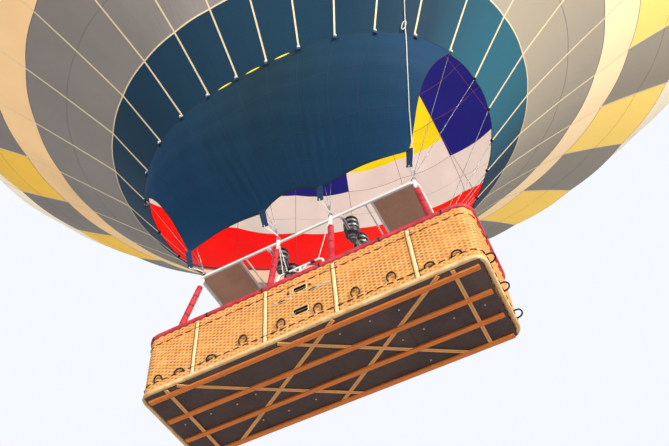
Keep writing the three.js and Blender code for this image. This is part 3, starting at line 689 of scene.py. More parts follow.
def fill_wood_grain(w: Wiring, takes: object, gives: object) -> None:
    """Wood fibres: a noise drawn out along the grain, and rings bent by a slow noise."""
    fibre = w.noise(takes["Place"], 5.0, 6.0, 0.65, 0.25)
    ring = w.node("TexWave", {"Vector": takes["Place"], "Scale": 1.1, "Distortion": 5.0, "Detail": 3.0},
                  bands_direction="Y").outputs["Fac"]
    w.feed(gives["Shade"], w.span(w.weighted((fibre, 0.6), (ring, 0.4)), 0.25, 0.75))
    w.feed(gives["Height"], fibre)


WOOD_GRAIN = Effect(
    "wood_grain",
    (("Place", "Vector", None),),
    (("Shade", "Float"), ("Height", "Float")),
    fill_wood_grain,
)


def fill_cane(w: Wiring, takes: object, gives: object) -> None:
    """Split cane: a shade of its own for each length between stakes and each row, fibres along the row."""
    place = w.split(takes["Place"])
    cell_u = w.math("FLOOR", w.math("DIVIDE", place[0], takes["Stake"]))
    cell_v = w.math("FLOOR", w.math("DIVIDE", place[1], takes["Row"]))
    cell = w.node("CombineXYZ", {0: cell_u, 1: cell_v}).outputs[0]
    each = w.node("TexWhiteNoise", {"Vector": cell}, noise_dimensions="2D").outputs["Value"]
    row = w.node("TexWhiteNoise", {"W": cell_v}, noise_dimensions="1D").outputs["Value"]
    fibre = w.noise(w.stretched(takes["Place"], (9.0, 160.0, 1.0)), 1.0, 3.0, 0.6)
    w.feed(gives["Shade"], w.weighted((each, 0.5), (row, 0.25), (fibre, 0.25)))
    w.feed(gives["Height"], fibre)


CANE = Effect(
    "cane",
    (("Place", "Vector", None), ("Stake", "Float", 0.06), ("Row", "Float", 0.028)),
    (("Shade", "Float"), ("Height", "Float")),
    fill_cane,
)


def fill_hide(w: Wiring, takes: object, gives: object) -> None:
    """Leather: small rounded cells with creases between them, and soft scuffs."""
    sockets = {"Vector": takes["Place"], "Scale": 240.0}
    cells = w.node("TexVoronoi", sockets, feature="DISTANCE_TO_EDGE").outputs[0]
    soft = w.noise(takes["Place"], 9.0, 4.0, 0.6, 0.5)
    w.feed(gives["Height"], w.weighted((w.span(cells, 0.0, 0.12), 0.25), (soft, 0.75)))
    w.feed(gives["Shade"], w.span(soft, 0.3, 0.7))


HIDE = Effect(
    "hide",
    (("Place", "Vector", None),),
    (("Height", "Float"), ("Shade", "Float")),
    fill_hide,
)


# Finishes


@dataclass(frozen=True)
class Finish:
    """A material: its name, main colours and gloss. Subclasses add the pattern."""

    name: str
    color: str
    roughness: float = 0.6
    metallic: float = 0.0

    def material(self) -> bpy.types.Material:
        """Finds the material, or builds it the first time."""
        known = bpy.data.materials.get(self.name)
        if known:
            return known
        made = bpy.data.materials.new(self.name)
        made.use_nodes = True
        made.diffuse_color = tint(self.color)
        wiring = Wiring(made.node_tree)
        shader = made.node_tree.nodes["Principled BSDF"]
        shader.inputs["Base Color"].default_value = tint(self.color)
        shader.inputs["Roughness"].default_value = self.roughness
        shader.inputs["Metallic"].default_value = self.metallic
        self.dress(wiring, shader)
        return made

    def dress(self, w: Wiring, shader: bpy.types.Node) -> None:
        """Adds the finish's own nodes."""


def scaled(color: str, factor: float) -> Tint:
    """A screen colour made darker or lighter by a factor, in linear light."""
    return (*(min(value * factor, 1.0) for value in tint(color)[:3]), 1.0)


@dataclass(frozen=True)
class ClothFinish(Finish):
    """Coated nylon, whose shade wanders by `deep`.

    `glow` is a painted glow: emission for how much of the daylight outside comes through to the side that
    shows. The `sunny` colour is painted sunlight: it takes over towards the right side, from `sunny_from` of
    the way round to it, and ends at a height.
    """

    glow: float = 0.0
    deep: float = 0.16
    sunny: str = ""
    sunny_from: float = 0.1
    sunny_heights: Pair = (-11.0, -8.0)
    wrinkle: float = 0.6
    thread: float = 0.012

    def dress(self, w: Wiring, shader: bpy.types.Node) -> None:
        """Weave and wrinkles as bump, panel shade in the colour, and a painted glow for daylight through the
        cloth.
        """
        grain = CLOTH_GRAIN.put(w, Place=w.place("UV"), Thread=self.thread, Wrinkle=self.wrinkle)
        color = self.shaded(w, grain)
        w.feed(shader.inputs["Base Color"], color)
        # Painted glow: emission in the cloth's own colour stands in for daylight coming through it.
        if self.glow:
            w.feed(shader.inputs["Emission Color"], color)
            shader.inputs["Emission Strength"].default_value = self.glow
        shader.inputs["Specular IOR Level"].default_value = 0.12
        w.bump(shader, grain["Height"], 0.035, 0.55)

    def shaded(self, w: Wiring, grain: object) -> Socket:
        """The cloth's colour, from a darker shade to a lighter one, and painted sunlight on the right side."""
        dark, light = scaled(self.color, 1 - self.deep), scaled(self.color, 1 + self.deep / 2)
        cloth = w.mix(grain["Shade"], dark, light)
        if not self.sunny:
            return cloth
        # Painted sunlight: the sunny colour takes over towards the right side and ends at a height.
        place = w.split(w.place("Object"))
        away = w.math("SQRT", w.plus(w.math("POWER", place[0], 2.0), w.math("POWER", place[1], 2.0)))
        lit = w.span(w.math("DIVIDE", place[0], away), self.sunny_from, 1.0)
        low = w.span(place[2], *self.sunny_heights, 1.0, 0.0)
        return w.mix(w.times(lit, low), cloth, tint(self.sunny))


@dataclass(frozen=True)
class ScoopFinish(ClothFinish):
    """The scoop's cloth, with a soft greenish-grey patch that fades out with distance from a point."""

    patch: str = "#192f2f"
    centre: Triple = (0.3, -2.7, -19.5)
    reach: float = 2.8

    def shaded(self, w: Wiring, grain: object) -> Socket:
        """The cloth's colour, mixed with the patch's colour less and less with distance from its centre."""
        sockets = {0: w.place("Object"), 1: self.centre}
        away = w.node("VectorMath", sockets, operation="DISTANCE").outputs["Value"]
        return w.mix(w.span(away, 0.2, self.reach, 0.8, 0.0), super().shaded(w, grain), tint(self.patch))


@dataclass(frozen=True)
class WickerFinish(Finish):
    """Woven cane. A point's mark is how deep it lies in the weave, where painted shade darkens it."""

    # The colour of the painted shade deep in the weave.
    gap: str = "#4a2108"
    pale: str = "#f6bd73"

    def dress(self, w: Wiring, shader: bpy.types.Node) -> None:
        """A shade for each length of cane, painted shade in the gaps by the weave's depth, fibres and a little
        gloss.
        """
        cane = CANE.put(w, Place=w.place("UV"))
        body = w.mix(w.span(cane["Shade"], 0.1, 0.9), tint(self.color), tint(self.pale))
        # Painted shade: the gap colour darkens the cane by how deep it lies in the weave, broken up by a noise.
        depth = w.node("Attribute", attribute_name="mark").outputs["Fac"]
        loose = w.span(w.noise(w.place("UV"), 3.0, 2.0), 0.35, 0.62, 0.6, 1.1)
        color = w.mix(w.times(w.span(depth, 0.12, 0.7), loose), body, tint(self.gap))
        dusty = DUST.put(w, Place=w.place("Object"), Color=color, Dirt=tint("#b8762e"), Amount=0.2)
        w.feed(shader.inputs["Base Color"], dusty["Color"])
        shader.inputs["Specular IOR Level"].default_value = 0.45
        w.bump(shader, cane["Height"], 0.002, 0.5)


@dataclass(frozen=True)
class WoodFinish(Finish):
    """Wood with its grain drawn out by `along` on each axis, oiled or bare, with dirt in patches."""

    dark: str = "#6b3d12"
    dirt: str = "#4a3220"
    wear: float = 0.4
    along: Triple = (1.2, 14.0, 14.0)

    def dress(self, w: Wiring, shader: bpy.types.Node) -> None:
        """Grain between two browns and dirt in patches."""
        place = w.place("Object")
        grain = WOOD_GRAIN.put(w, Place=w.stretched(place, self.along))
        body = w.mix(grain["Shade"], tint(self.dark), tint(self.color))
        dusty = DUST.put(w, Place=place, Color=body, Dirt=tint(self.dirt), Amount=self.wear)
        w.feed(shader.inputs["Base Color"], dusty["Color"])
        w.feed(shader.inputs["Roughness"], w.span(dusty["Mask"], 0.0, 1.0, self.roughness, 0.92))
        w.bump(shader, grain["Height"], 0.003, 0.6)


@dataclass(frozen=True)
class HideFinish(Finish):
    """Leather or padded vinyl with soft creases and scuffs."""

    dark: str = "#5e0c12"
    scuff: str = "#d86a62"
    wear: float = 0.25

    def dress(self, w: Wiring, shader: bpy.types.Node) -> None:
        """Grain as bump, two shades, paler scuffs, a soft coat."""
        place = w.place("Object")
        hide = HIDE.put(w, Place=place)
        body = w.mix(hide["Shade"], tint(self.dark), tint(self.color))
        scuffed = DUST.put(w, Place=place, Color=body, Dirt=tint(self.scuff), Amount=self.wear)
        w.feed(shader.inputs["Base Color"], scuffed["Color"])
        w.feed(shader.inputs["Roughness"], w.span(scuffed["Mask"], 0.0, 1.0, self.roughness, 0.8))
        shader.inputs["Coat Weight"].default_value = 0.08
        w.bump(shader, hide["Height"], 0.004, 0.45)


@dataclass(frozen=True)
class MetalFinish(Finish):
    """Painted, brushed or heat-stained metal."""

    stain: str = "#4a3a30"
    amount: float = 0.4
    bare: str = "#b9bcc0"
    brushed: float = 0.0

    def dress(self, w: Wiring, shader: bpy.types.Node) -> None:
        """Stains in patches, bare edges, uneven gloss and brush lines along the height."""
        place = w.place("Object")
        stained = DUST.put(w, Place=place, Color=tint(self.color), Dirt=tint(self.stain), Amount=self.amount)
        worn = EDGE_WEAR.put(w, Place=place, Color=stained["Color"], Bare=tint(self.bare), Amount=0.5)
        w.feed(shader.inputs["Base Color"], worn["Color"])
        gloss = w.noise(place, 12.0, 3.0, 0.6)
        low, high = max(0.08, self.roughness - 0.12), min(1.0, self.roughness + 0.16)
        w.feed(shader.inputs["Roughness"], w.span(gloss, 0.3, 0.7, low, high))
        lines = w.noise(w.stretched(place, (60.0, 60.0, 900.0)), 1.0, 2.0, 0.5)
        dents = w.noise(place, 7.0, 2.0, 0.5)
        w.bump(shader, w.weighted((lines, self.brushed), (dents, 0.6)), 0.0012, 0.5)


@dataclass(frozen=True)
class TwistFinish(Finish):
    """Rope, cable or webbing: strands that wind round, `lay` metres to a turn, or cross a flat tape."""

    lay: float = 0.02
    dark: float = 0.45
    deep: float = 0.0016

    def dress(self, w: Wiring, shader: bpy.types.Node) -> None:
        """Slanted ridges from the UV map, with painted shade between the strands, and a fuzz that darkens at
        random.
        """
        place = w.split(w.place("UV"))
        slant = w.plus(place[0], w.times(place[1], 0.8))
        ridge = w.math("ABSOLUTE", w.math("SINE", w.times(slant, math.pi / self.lay)))
        # Painted shade: the darker copy of the colour lies between the strands; the fuzz also mixes it in at
        # random.
        main, shade = tint(self.color), scaled(self.color, 1 - self.dark)
        fuzz = w.noise(w.place("Object"), 25.0, 3.0, 0.6)
        color = w.mix(w.span(ridge, 0.0, 0.7), shade, main)
        w.feed(shader.inputs["Base Color"], w.mix(w.span(fuzz, 0.35, 0.75, 0.0, 0.35), color, shade))
        w.bump(shader, ridge, self.deep, 0.7)


class Colour(Enum):
    """The cloth colours of the envelope's panels."""

    NAVY = "#13374d"
    GREY = "#908983"
    CREAM = "#e6be89"
    AMBER = "#e5b53d"
    PALE = "#efdfc2"
    ROSE = "#d4606a"
    CHARCOAL = "#454347"
    RED = "#ee0a03"
    WHITE = "#d2d9d2"
    VIOLET = "#1c2279"
    YELLOW = "#dedc1f"


# Painted sunlight: the colours that outer panels take on towards the right side.
SUNNY = {
    Colour.NAVY: "#2c6578",
    Colour.GREY: "#b0a592",
    Colour.CREAM: "#f8dcae",
    Colour.AMBER: "#fad878",
}
SUNNY_FROM = {Colour.NAVY: 0.87}
# Painted glow: emission on every panel's inner side, and on the outer side of the pale rows.
INSIDE_GLOW = 0.6
OUTSIDE_GLOW = {Colour.CREAM: 0.34, Colour.AMBER: 0.34, Colour.PALE: 0.34}


def panel(colour: Colour, inside: bool) -> ClothFinish:
    """The finish of a panel's side. A painted glow for daylight shows on the inner one, and a little on pale
    outer ones.
    """
    name = "cloth_" + colour.name.lower()
    if inside:
        return ClothFinish(name + "_inside", colour.value, 0.62, glow=INSIDE_GLOW)
    return ClothFinish(name + "_outside", colour.value, 0.62, glow=OUTSIDE_GLOW.get(colour, 0.0),
                       sunny=SUNNY.get(colour, ""), sunny_from=SUNNY_FROM.get(colour, 0.1))


SCOOP_CLOTH = ScoopFinish("cloth_scoop", "#133e60", 0.66, wrinkle=0.4)
SEAM_OUT = TwistFinish("seam_tape_outside", "#7d7472", 0.8, lay=0.008)
SEAM_IN = TwistFinish("seam_tape_inside", "#8f6a60", 0.8, lay=0.008)
WEBBING = TwistFinish("cream_webbing", "#f0dcb4", 0.75, lay=0.01, dark=0.2)
SCOOP_SEAM = TwistFinish("scoop_seam_tape", "#0e2f4c", 0.75, lay=0.01, dark=0.2)
# Painted shadow: the dark cords down the sides of the posts.
PAINTED_POST_SHADOW = TwistFinish("painted_post_shadow", "#5a3212", 0.7, lay=0.014)
STRAW_POST = HideFinish("straw_post", "#ffdfa8", 0.5, dark="#f0c486", scuff="#c9985c", wear=0.2)
HEM = TwistFinish("dark_hem", "#0c2b3f", 0.75, lay=0.01, dark=0.3)
# Painted glint: yellow cloth with a painted glow, for the lit inside seen through gaps at the scoop's head.
PAINTED_GLINT = ClothFinish("painted_glint_cloth", "#f2e04a", 0.62, glow=0.3)
BLUE_WEBBING = TwistFinish("blue_webbing", "#0e3c61", 0.7, lay=0.012, dark=0.3)
BLACK_ROPE = TwistFinish("black_rope", "#16110e", 0.8, lay=0.012)
RED_CORD = TwistFinish("red_cord", "#a01018", 0.7, lay=0.008)
PALE_ROPE = TwistFinish("pale_rope", "#ece8dc", 0.8, lay=0.01)
PINK_ROPE = TwistFinish("pink_rope", "#b98584", 0.8, lay=0.01)
CABLE = TwistFinish("steel_cable", "#a9abad", 0.35, 0.8, lay=0.006)
WICKER = WickerFinish("woven_cane", "#e28f34", 0.55)
RAWHIDE = HideFinish("rawhide_band", "#f4d49c", 0.55, dark="#d4a668", scuff="#a06e42", wear=0.5)
RUNNER_WOOD = WoodFinish("orange_runner", "#ee8a34", 0.55, dark="#c5621c", wear=0.15)
SLAT_WOOD = WoodFinish("pale_slat", "#f2b674", 0.55, dark="#d58d48", wear=0.15)
PLYWOOD = WoodFinish("dark_plywood", "#4b3a38", 0.75, dark="#33282a", dirt="#6b533f", wear=0.3,
                     along=(3.0, 9.0, 9.0))
RED_PAD = HideFinish("red_padding", "#dd1c38", 0.5, dark="#8a0f22")
BLACK_STRAP = HideFinish("black_strap", "#1c1718", 0.6, dark="#0c0a0a", scuff="#4a4240")
TAN_TRIM = HideFinish("tan_trim", "#a5672f", 0.6, dark="#6f3f1a", scuff="#c99a66")
WHITE_PAINT = MetalFinish("white_paint", "#f6f4f0", 0.35, stain="#b5ada2", amount=0.3, bare="#e4e4e2")
SHIELD_STEEL = MetalFinish("heat_shield_steel", "#c49c84", 0.5, 0.1, stain="#977b66", amount=0.5,
                           brushed=0.4)
STEEL = MetalFinish("bright_steel", "#b9bcbf", 0.28, 0.9, stain="#7b7770", brushed=0.5)
BLACK_STEEL = MetalFinish("black_steel", "#2a292c", 0.45, 0.6, stain="#5a4538", amount=0.5)
CYLINDER = MetalFinish("brushed_cylinder", "#b3b5b6", 0.35, 0.75, stain="#84807a", brushed=0.8)
RED_ENAMEL = MetalFinish("red_enamel", "#b3161a", 0.35, 0.1, stain="#3a1512", amount=0.4)
BRASS = MetalFinish("valve_brass", "#b88a3a", 0.3, 0.9, stain="#6a4b1c")


# Pieces in Blender


SHARP_ANGLE = math.radians(40)
LONGEST_CUT = 29.9


def build_piece(name: str, surface: Surface | Sequence[Surface], finishes: Sequence[Finish],
                replaces: Sequence[str] = (), body: str = "balloon") -> bpy.types.Object:
    """Makes one piece of the scene from a surface and lets it ride on a body.

    Args:
        name: The piece's name.
        surface: Points given by height above the runners, as one surface or several to put together.
        finishes: The finishes that the surface's finish numbers mean.
        replaces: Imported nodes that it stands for.
        body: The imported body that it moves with.

    Returns:
        The finished object, at the origin.
    """
    if not isinstance(surface, Surface):
        surface = joined(surface)
    mesh = bpy.data.meshes.new(name)
    faces = [corners for face in surface.faces for corners in face.tolist()]
    mesh.from_pydata(placed(surface.points).tolist(), [], faces)
    layer = mesh.uv_layers.new(name="metres")
    layer.data.foreach_set("uv", np.concatenate([uv.reshape(-1) for uv in surface.uvs]))
    numbers = np.concatenate(surface.finishes).astype(np.int32)
    mesh.polygons.foreach_set("material_index", numbers)
    if surface.marks is not None and np.any(surface.marks):
        marks = mesh.attributes.new("mark", "FLOAT", "POINT")
        marks.data.foreach_set("value", surface.marks.astype(np.float32))
    for finish in finishes:
        mesh.materials.append(finish.material())
    mesh.shade_smooth()
    mesh.set_sharp_from_angle(angle=SHARP_ANGLE)
    mesh.update()
    piece = bpy.data.objects.new(name, mesh)
    bpy.context.collection.objects.link(piece)
    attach(piece, body)
    if replaces:
        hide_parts(*replaces)
    log.info("%s: %d faces on %s", name, len(faces), body)
    return piece


def declare_sheet(piece: bpy.types.Object, area: float, length: float) -> None:
    """Works out the width of a sheet's flat cut from its cloth area and the length of its cut panels laid side
    by side, and raises if one cut can't hold it.

    Args:
        piece: The sheet.
        area: Flat area of the cloth.
        length: One side of the flat cut.
    """
    long = min(length, LONGEST_CUT)
    width = area / long
    if width > LONGEST_CUT:
        raise ValueError(f"{piece.name} has more cloth than one cut holds")


# The envelope


@dataclass(frozen=True)
class EnvelopeForm:
    """The outside of the envelope as a function of the angle round it and the height.

    The mean half width follows measured rings up to the pale row's head, then a parabola to the widest
    ring, then a quarter of an ellipse. Below the widest ring, shares with two and three waves round it
    widen the ring across a slant, and it is set off the axis and leans, most at the mouth. Each gore
    stands out between its tapes by a share of the width that grows with it.
    """

    mouth: float = 4.6
    cone_top: float = 14.0
    widest: float = 14.0
    dome: float = 10.0
    bulge: float = 0.008
    shift: Pair = (0.119, 0.118)
    lean: Pair = (0.019, 0.081)
    ring_ups: tuple[float, ...] = (4.6, 5.92, 8.42, 9.83, 12.3, 14.0, 23.9)
    ring_widths: tuple[float, ...] = (2.924, 3.817, 5.756, 6.976, 9.417, 10.46, 14.0)
    ring_waves: tuple[tuple[float, ...], ...] = (
        (0.077, 0.072, 0.093, 0.085, 0.058, 0.094, 0.0),
        (-0.003, -0.007, 0.043, 0.052, 0.091, 0.112, 0.0),
        (0.001, 0.019, 0.03, 0.03, 0.018, 0.021, 0.0),
        (-0.04, -0.019, -0.001, 0.001, 0.011, 0.031, 0.0),
    )

    def width(self, up: Array | float) -> Array:
        """Mean half width at a height."""
        up = np.asarray(up, float)
        cone = np.interp(up, self.ring_ups, self.ring_widths)
        below = np.clip((EQUATOR_UP - up) / (EQUATOR_UP - self.cone_top), 0, 1)
        side = self.widest - (self.widest - self.ring_widths[-2]) * below ** 2
        above = np.clip((up - EQUATOR_UP) / self.dome, 0, 1)
        cap = self.widest * np.sqrt(1 - above ** 2)
        return np.where(up <= self.cone_top, cone, np.where(up <= EQUATOR_UP, side, cap))

    def off_round(self, angle: Array | float, up: Array | float) -> Array:
        """Share of the width by which the outside stands off a circle: two waves round, and three."""
        angle = np.asarray(angle, float)
        shares = [np.interp(up, self.ring_ups, wave) for wave in self.ring_waves]
        two = shares[0] * np.cos(2 * angle) + shares[1] * np.sin(2 * angle)
        return two + shares[2] * np.cos(3 * angle) + shares[3] * np.sin(3 * angle)

    def dome_up(self, reach: Array | float) -> Array:
        """Height of the dome at a distance from the axis."""
        return EQUATOR_UP + self.dome * np.sqrt(1 - (np.asarray(reach) / self.widest) ** 2)

    def slope(self, up: Array | float) -> tuple[Array, Array]:
        """Level and upright parts of the outward direction, from the profile's slope."""
        up = np.asarray(up, float)
        low, high = np.maximum(up - 0.005, self.mouth), np.minimum(up + 0.005, EQUATOR_UP)
        lean = np.where(high > low, (self.width(low) - self.width(high)) / np.maximum(high - low, 1e-9), 0.0)
        level = np.where(up < EQUATOR_UP, 1.0, self.width(up) / self.widest ** 2)
        upright = np.where(up < EQUATOR_UP, lean, (up - EQUATOR_UP) / self.dome ** 2)
        size = np.hypot(level, upright)
        return level / size, upright / size

    def place(self, angle: Array | float, up: Array | float, out: Array | float = 0.0,
              bulged: bool = True) -> Array:
        """Points on the outside, `out` metres off it along the outward direction.

        Args:
            angle: Angle round the axis from +X.
            up: Height before the leaning.
            out: Step along the outward direction.
            bulged: Whether the gores stand out between their tapes.

        Returns:
            Points by height above the runners.
        """
        width, (level, upright) = self.width(up), self.slope(up)
        stand = width ** 2 / self.widest * self.bulge * np.abs(np.sin(np.asarray(angle) * GORES / 2))
        reach = width * (1 + self.off_round(angle, up)) + (stand if bulged else 0.0) + np.asarray(out) * level
        low = np.clip((EQUATOR_UP - np.asarray(up, float)) / (EQUATOR_UP - self.mouth), 0, 1)
        x = reach * np.cos(angle) + low * self.shift[0]
        y = reach * np.sin(angle) + low * self.shift[1]
        leaned = up + np.asarray(out) * upright + low * (self.lean[0] * x + self.lean[1] * y)
        return stacked(x, y, leaned)

    def ups(self, low: float, high: float, rows: int) -> Array:
        """Heights for a mesh, even in height below the widest ring and even round the ellipse above it."""
        if low < EQUATOR_UP:
            return np.linspace(low, high, rows + 1)
        angle = np.arcsin((np.array([low, high]) - EQUATOR_UP) / self.dome)
        return EQUATOR_UP + self.dome * np.sin(np.linspace(angle[0], angle[1], rows + 1))

    def tape_end(self, gore: int) -> Array:
        """Where a load tape reaches the mouth's edge."""
        return self.place(gore * TURN / GORES, self.mouth)

    def strip(self, gore: int, ups: Array, width: float, low: float, high: float) -> Surface:
        """An upright strip of tape along a gore's edge, from `low` to `high` off the outside."""
        angle = gore * TURN / GORES
        top, under = [self.place(angle, ups, out) for out in (high, low)]
        return strap(top, bearings(angle)[1] * width / 2, under - top)


def bearings(angle: float) -> tuple[Array, Array]:
    """Level directions at an angle round the axis: out from it, and across to the left of that."""
    out = np.array([math.cos(angle), math.sin(angle), 0.0])
    return out, np.cross(UPWARD, out)


@dataclass(frozen=True)
class Row:
    """One row of panels round the envelope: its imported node, heights, colours and seams.

    The second colour is for the gores that the pattern picks. In those, cloth below `step` takes the
    third colour. The mesh has `cells` cells from foot to head, or as many as the height asks for.
    """

    node: str
    low: float
    high: float
    colours: tuple[Colour, ...]
    slot: str
    middle_seams: tuple[float, ...] = ()
    step: float | None = None
    cells: int = 0


def every_other(gore: Array) -> Array:
    """Which gores take a row's second colour, where the colours take turns."""
    return gore % 2 == 1


def two_in_five(gore: Array) -> Array:
    """Which gores take a row's second colour, where two in each five do."""
    return np.isin(gore % 5, (2, 3))


@dataclass
class Envelope:
    """The envelope's cloth, seams and load tapes."""

    form: EnvelopeForm = EnvelopeForm()
    thick: float = 0.01
    steps: int = 10
    row_height: float = 0.42
    scallop: float = 0.012
    tape_width: float = 0.028
    tape_thick: float = 0.005
    seam_width: float = 0.02
    seam_thick: float = 0.003
    sunk: float = 0.001
    hem: float = 0.008
    vent_hole: float = 3.2
    rows: tuple[Row, ...] = (
        Row("envelope_mouth", 4.6, 5.92, (Colour.NAVY,), "navy_fabric"),
        Row("envelope_grey", 5.92, 8.42, (Colour.GREY,), "grey_fabric", (7.2,)),
        Row("envelope_cream", 8.42, 9.83, (Colour.CREAM,), "cream_fabric"),
        Row("envelope_checks", 9.83, 12.3, (Colour.GREY, Colour.AMBER), "amber_fabric", (11.1,)),
        Row("envelope_pale", 12.3, 14.0, (Colour.PALE,), "pale_fabric"),
        Row("envelope_rose", 14.0, 14.8, (Colour.ROSE,), "rose_fabric"),
        Row("envelope_charcoal", 14.8, 15.7, (Colour.CHARCOAL,), "charcoal_fabric"),
        Row("envelope_red_low", 15.7, 19.3, (Colour.RED,), "red_fabric", (17.5,)),
        Row("envelope_red_high", 19.3, 23.05, (Colour.RED,), "red_fabric", (21.2,)),
        Row("envelope_white", 23.05, 26.3, (Colour.WHITE,), "white_fabric", (24.6,)),
        Row("envelope_violet_low", 26.3, 28.5, (Colour.VIOLET, Colour.YELLOW, Colour.WHITE), "violet_fabric",
            step=27.44),
        Row("envelope_violet_high", 28.5, 31.0, (Colour.VIOLET, Colour.YELLOW), "violet_fabric", (29.8,)),
        Row("envelope_shoulder", 31.0, 32.3, (Colour.NAVY,), "navy_fabric", cells=7),
        Row("envelope_crown", 32.3, 33.635, (Colour.NAVY,), "navy_fabric", (33.05,), cells=11),
    )

    def build(self) -> None:
        """Builds every row, the seams and the tapes."""
        for row in self.rows:
            self.build_row(row)
        self.build_seams()
        self.build_tapes()
        self.build_mouth_hem()

    def angles(self) -> Array:
        """Angles of the mesh's upright lines."""
        return np.arange(GORES * self.steps) * TURN / (GORES * self.steps)

    def scallops(self) -> Array:
        """How far the mouth's edge rises between its tapes, at each angle."""
        return self.scallop * np.abs(np.sin(self.angles() * GORES / 2))

    def row_ups(self, row: Row) -> Array:
        """Heights of a row's mesh lines, and down to the vent's hole on the last row."""
        if row is self.rows[-1]:
            turn = np.arccos(np.array([self.form.width(row.low), self.vent_hole]) / self.form.widest)
            return EQUATOR_UP + self.form.dome * np.sin(np.linspace(turn[0], turn[1], row.cells + 1))
        if row.step:
            below = self.form.ups(row.low, row.step, 3)
            return np.concatenate([below[:-1], self.form.ups(row.step, row.high, 3)])
        by_height = max(3, round((row.high - row.low) / self.row_height))
        return self.form.ups(row.low, row.high, row.cells or by_height)

    def build_row(self, row: Row) -> None:
        """Builds one row as a closed shell: the outside, and the same surface a cloth's thickness deeper."""
        angle, ups = self.angles(), self.row_ups(row)
        lines = np.repeat(ups[:, None], len(angle), axis=1)
        if row.low == self.form.mouth:
            lines = lines + self.scallops() * (1 - (lines - row.low) / (row.high - row.low))
        outer = self.form.place(angle[None, :], lines)
        inner = self.form.place(angle[None, :], lines, -self.thick)
        gore = np.arange(len(angle)) // self.steps
        second = two_in_five(gore) if Colour.YELLOW in row.colours else every_other(gore)
        numbers = np.zeros((len(ups) - 1, len(gore)), int)
        if len(row.colours) > 1:
            numbers[:, second] = 1
        if row.step:
            numbers[np.ix_(ups[:-1] < row.step - 1e-6, second)] = 2
        surface = closed_shell(outer, inner, True, numbers, numbers + len(row.colours))
        finishes = [panel(colour, inside) for inside in (False, True) for colour in row.colours]
        piece = build_piece(row.node.replace("envelope", "cloth"), surface, finishes, [row.node])
        sides = np.cross(outer[1:, 1:] - outer[:-1, 1:], outer[1:, 1:] - outer[1:, :-1])
        area = float(np.linalg.norm(sides, axis=-1).sum()) * len(angle) / (len(angle) - 1)
        declare_sheet(piece, area, TURN * float(self.form.width(row.low)) / 2)

    def hoop(self, up: float, width: float, low: float, high: float) -> Surface:
        """A level strip of tape round the envelope at one height."""
        angle = self.angles()
        half = width / 2
        corners = [(up - half, high), (up + half, high), (up + half, low), (up - half, low)]
        lines = [self.form.place(angle, np.full_like(angle, at), out) for at, out in corners]
        return looped(np.stack(lines, axis=1))

    def gore_strips(self, width: float, low: float, high: float) -> list[Surface]:
        """A strip of tape up each gore's edge, over every row's mesh lines."""
        ups = np.unique(np.concatenate([self.row_ups(row) for row in self.rows]).round(5))
        return [self.form.strip(gore, ups, width, low, high) for gore in range(GORES)]

    def build_seams(self) -> None:
        """Builds the sewn seams: outside between rows, and inside along each gore and each row."""
        outside, inside = [], []
        within = -self.thick
        sunk, wide, thick = self.sunk, self.seam_width, self.seam_thick
        for row in self.rows[1:]:
            outside.append(self.hoop(row.low, wide, -sunk, thick))
            inside.append(self.hoop(row.low, wide, within - thick, within + sunk))
            for up in row.middle_seams:
                outside.append(self.hoop(up, wide * 0.6, -sunk, thick - sunk))
                inside.append(self.hoop(up, wide * 0.8, within - thick + sunk, within + sunk))
        inside += self.gore_strips(wide, within + sunk, within - thick - sunk)
        build_piece("row_seams_outside", outside, [SEAM_OUT])
        build_piece("seams_inside", inside, [SEAM_IN])

    def build_tapes(self) -> None:
        """Builds the load tapes up each gore line, and the tape round the head of the mouth row."""
        tapes = self.gore_strips(self.tape_width, -self.sunk, self.tape_thick)
        tapes.append(self.hoop(self.rows[1].low, self.tape_width, -self.sunk, self.tape_thick - self.sunk))
        build_piece("load_tapes", tapes, [WEBBING])

    def build_mouth_hem(self) -> None:
        """Builds the dark hem along the mouth, which rises between the tapes' ends."""
        path = self.form.place(self.angles(), self.form.mouth + self.scallops(), -self.thick / 2)
        build_piece("mouth_hem", tube(path, self.hem, 6, closed=True), [HEM])


# The crown


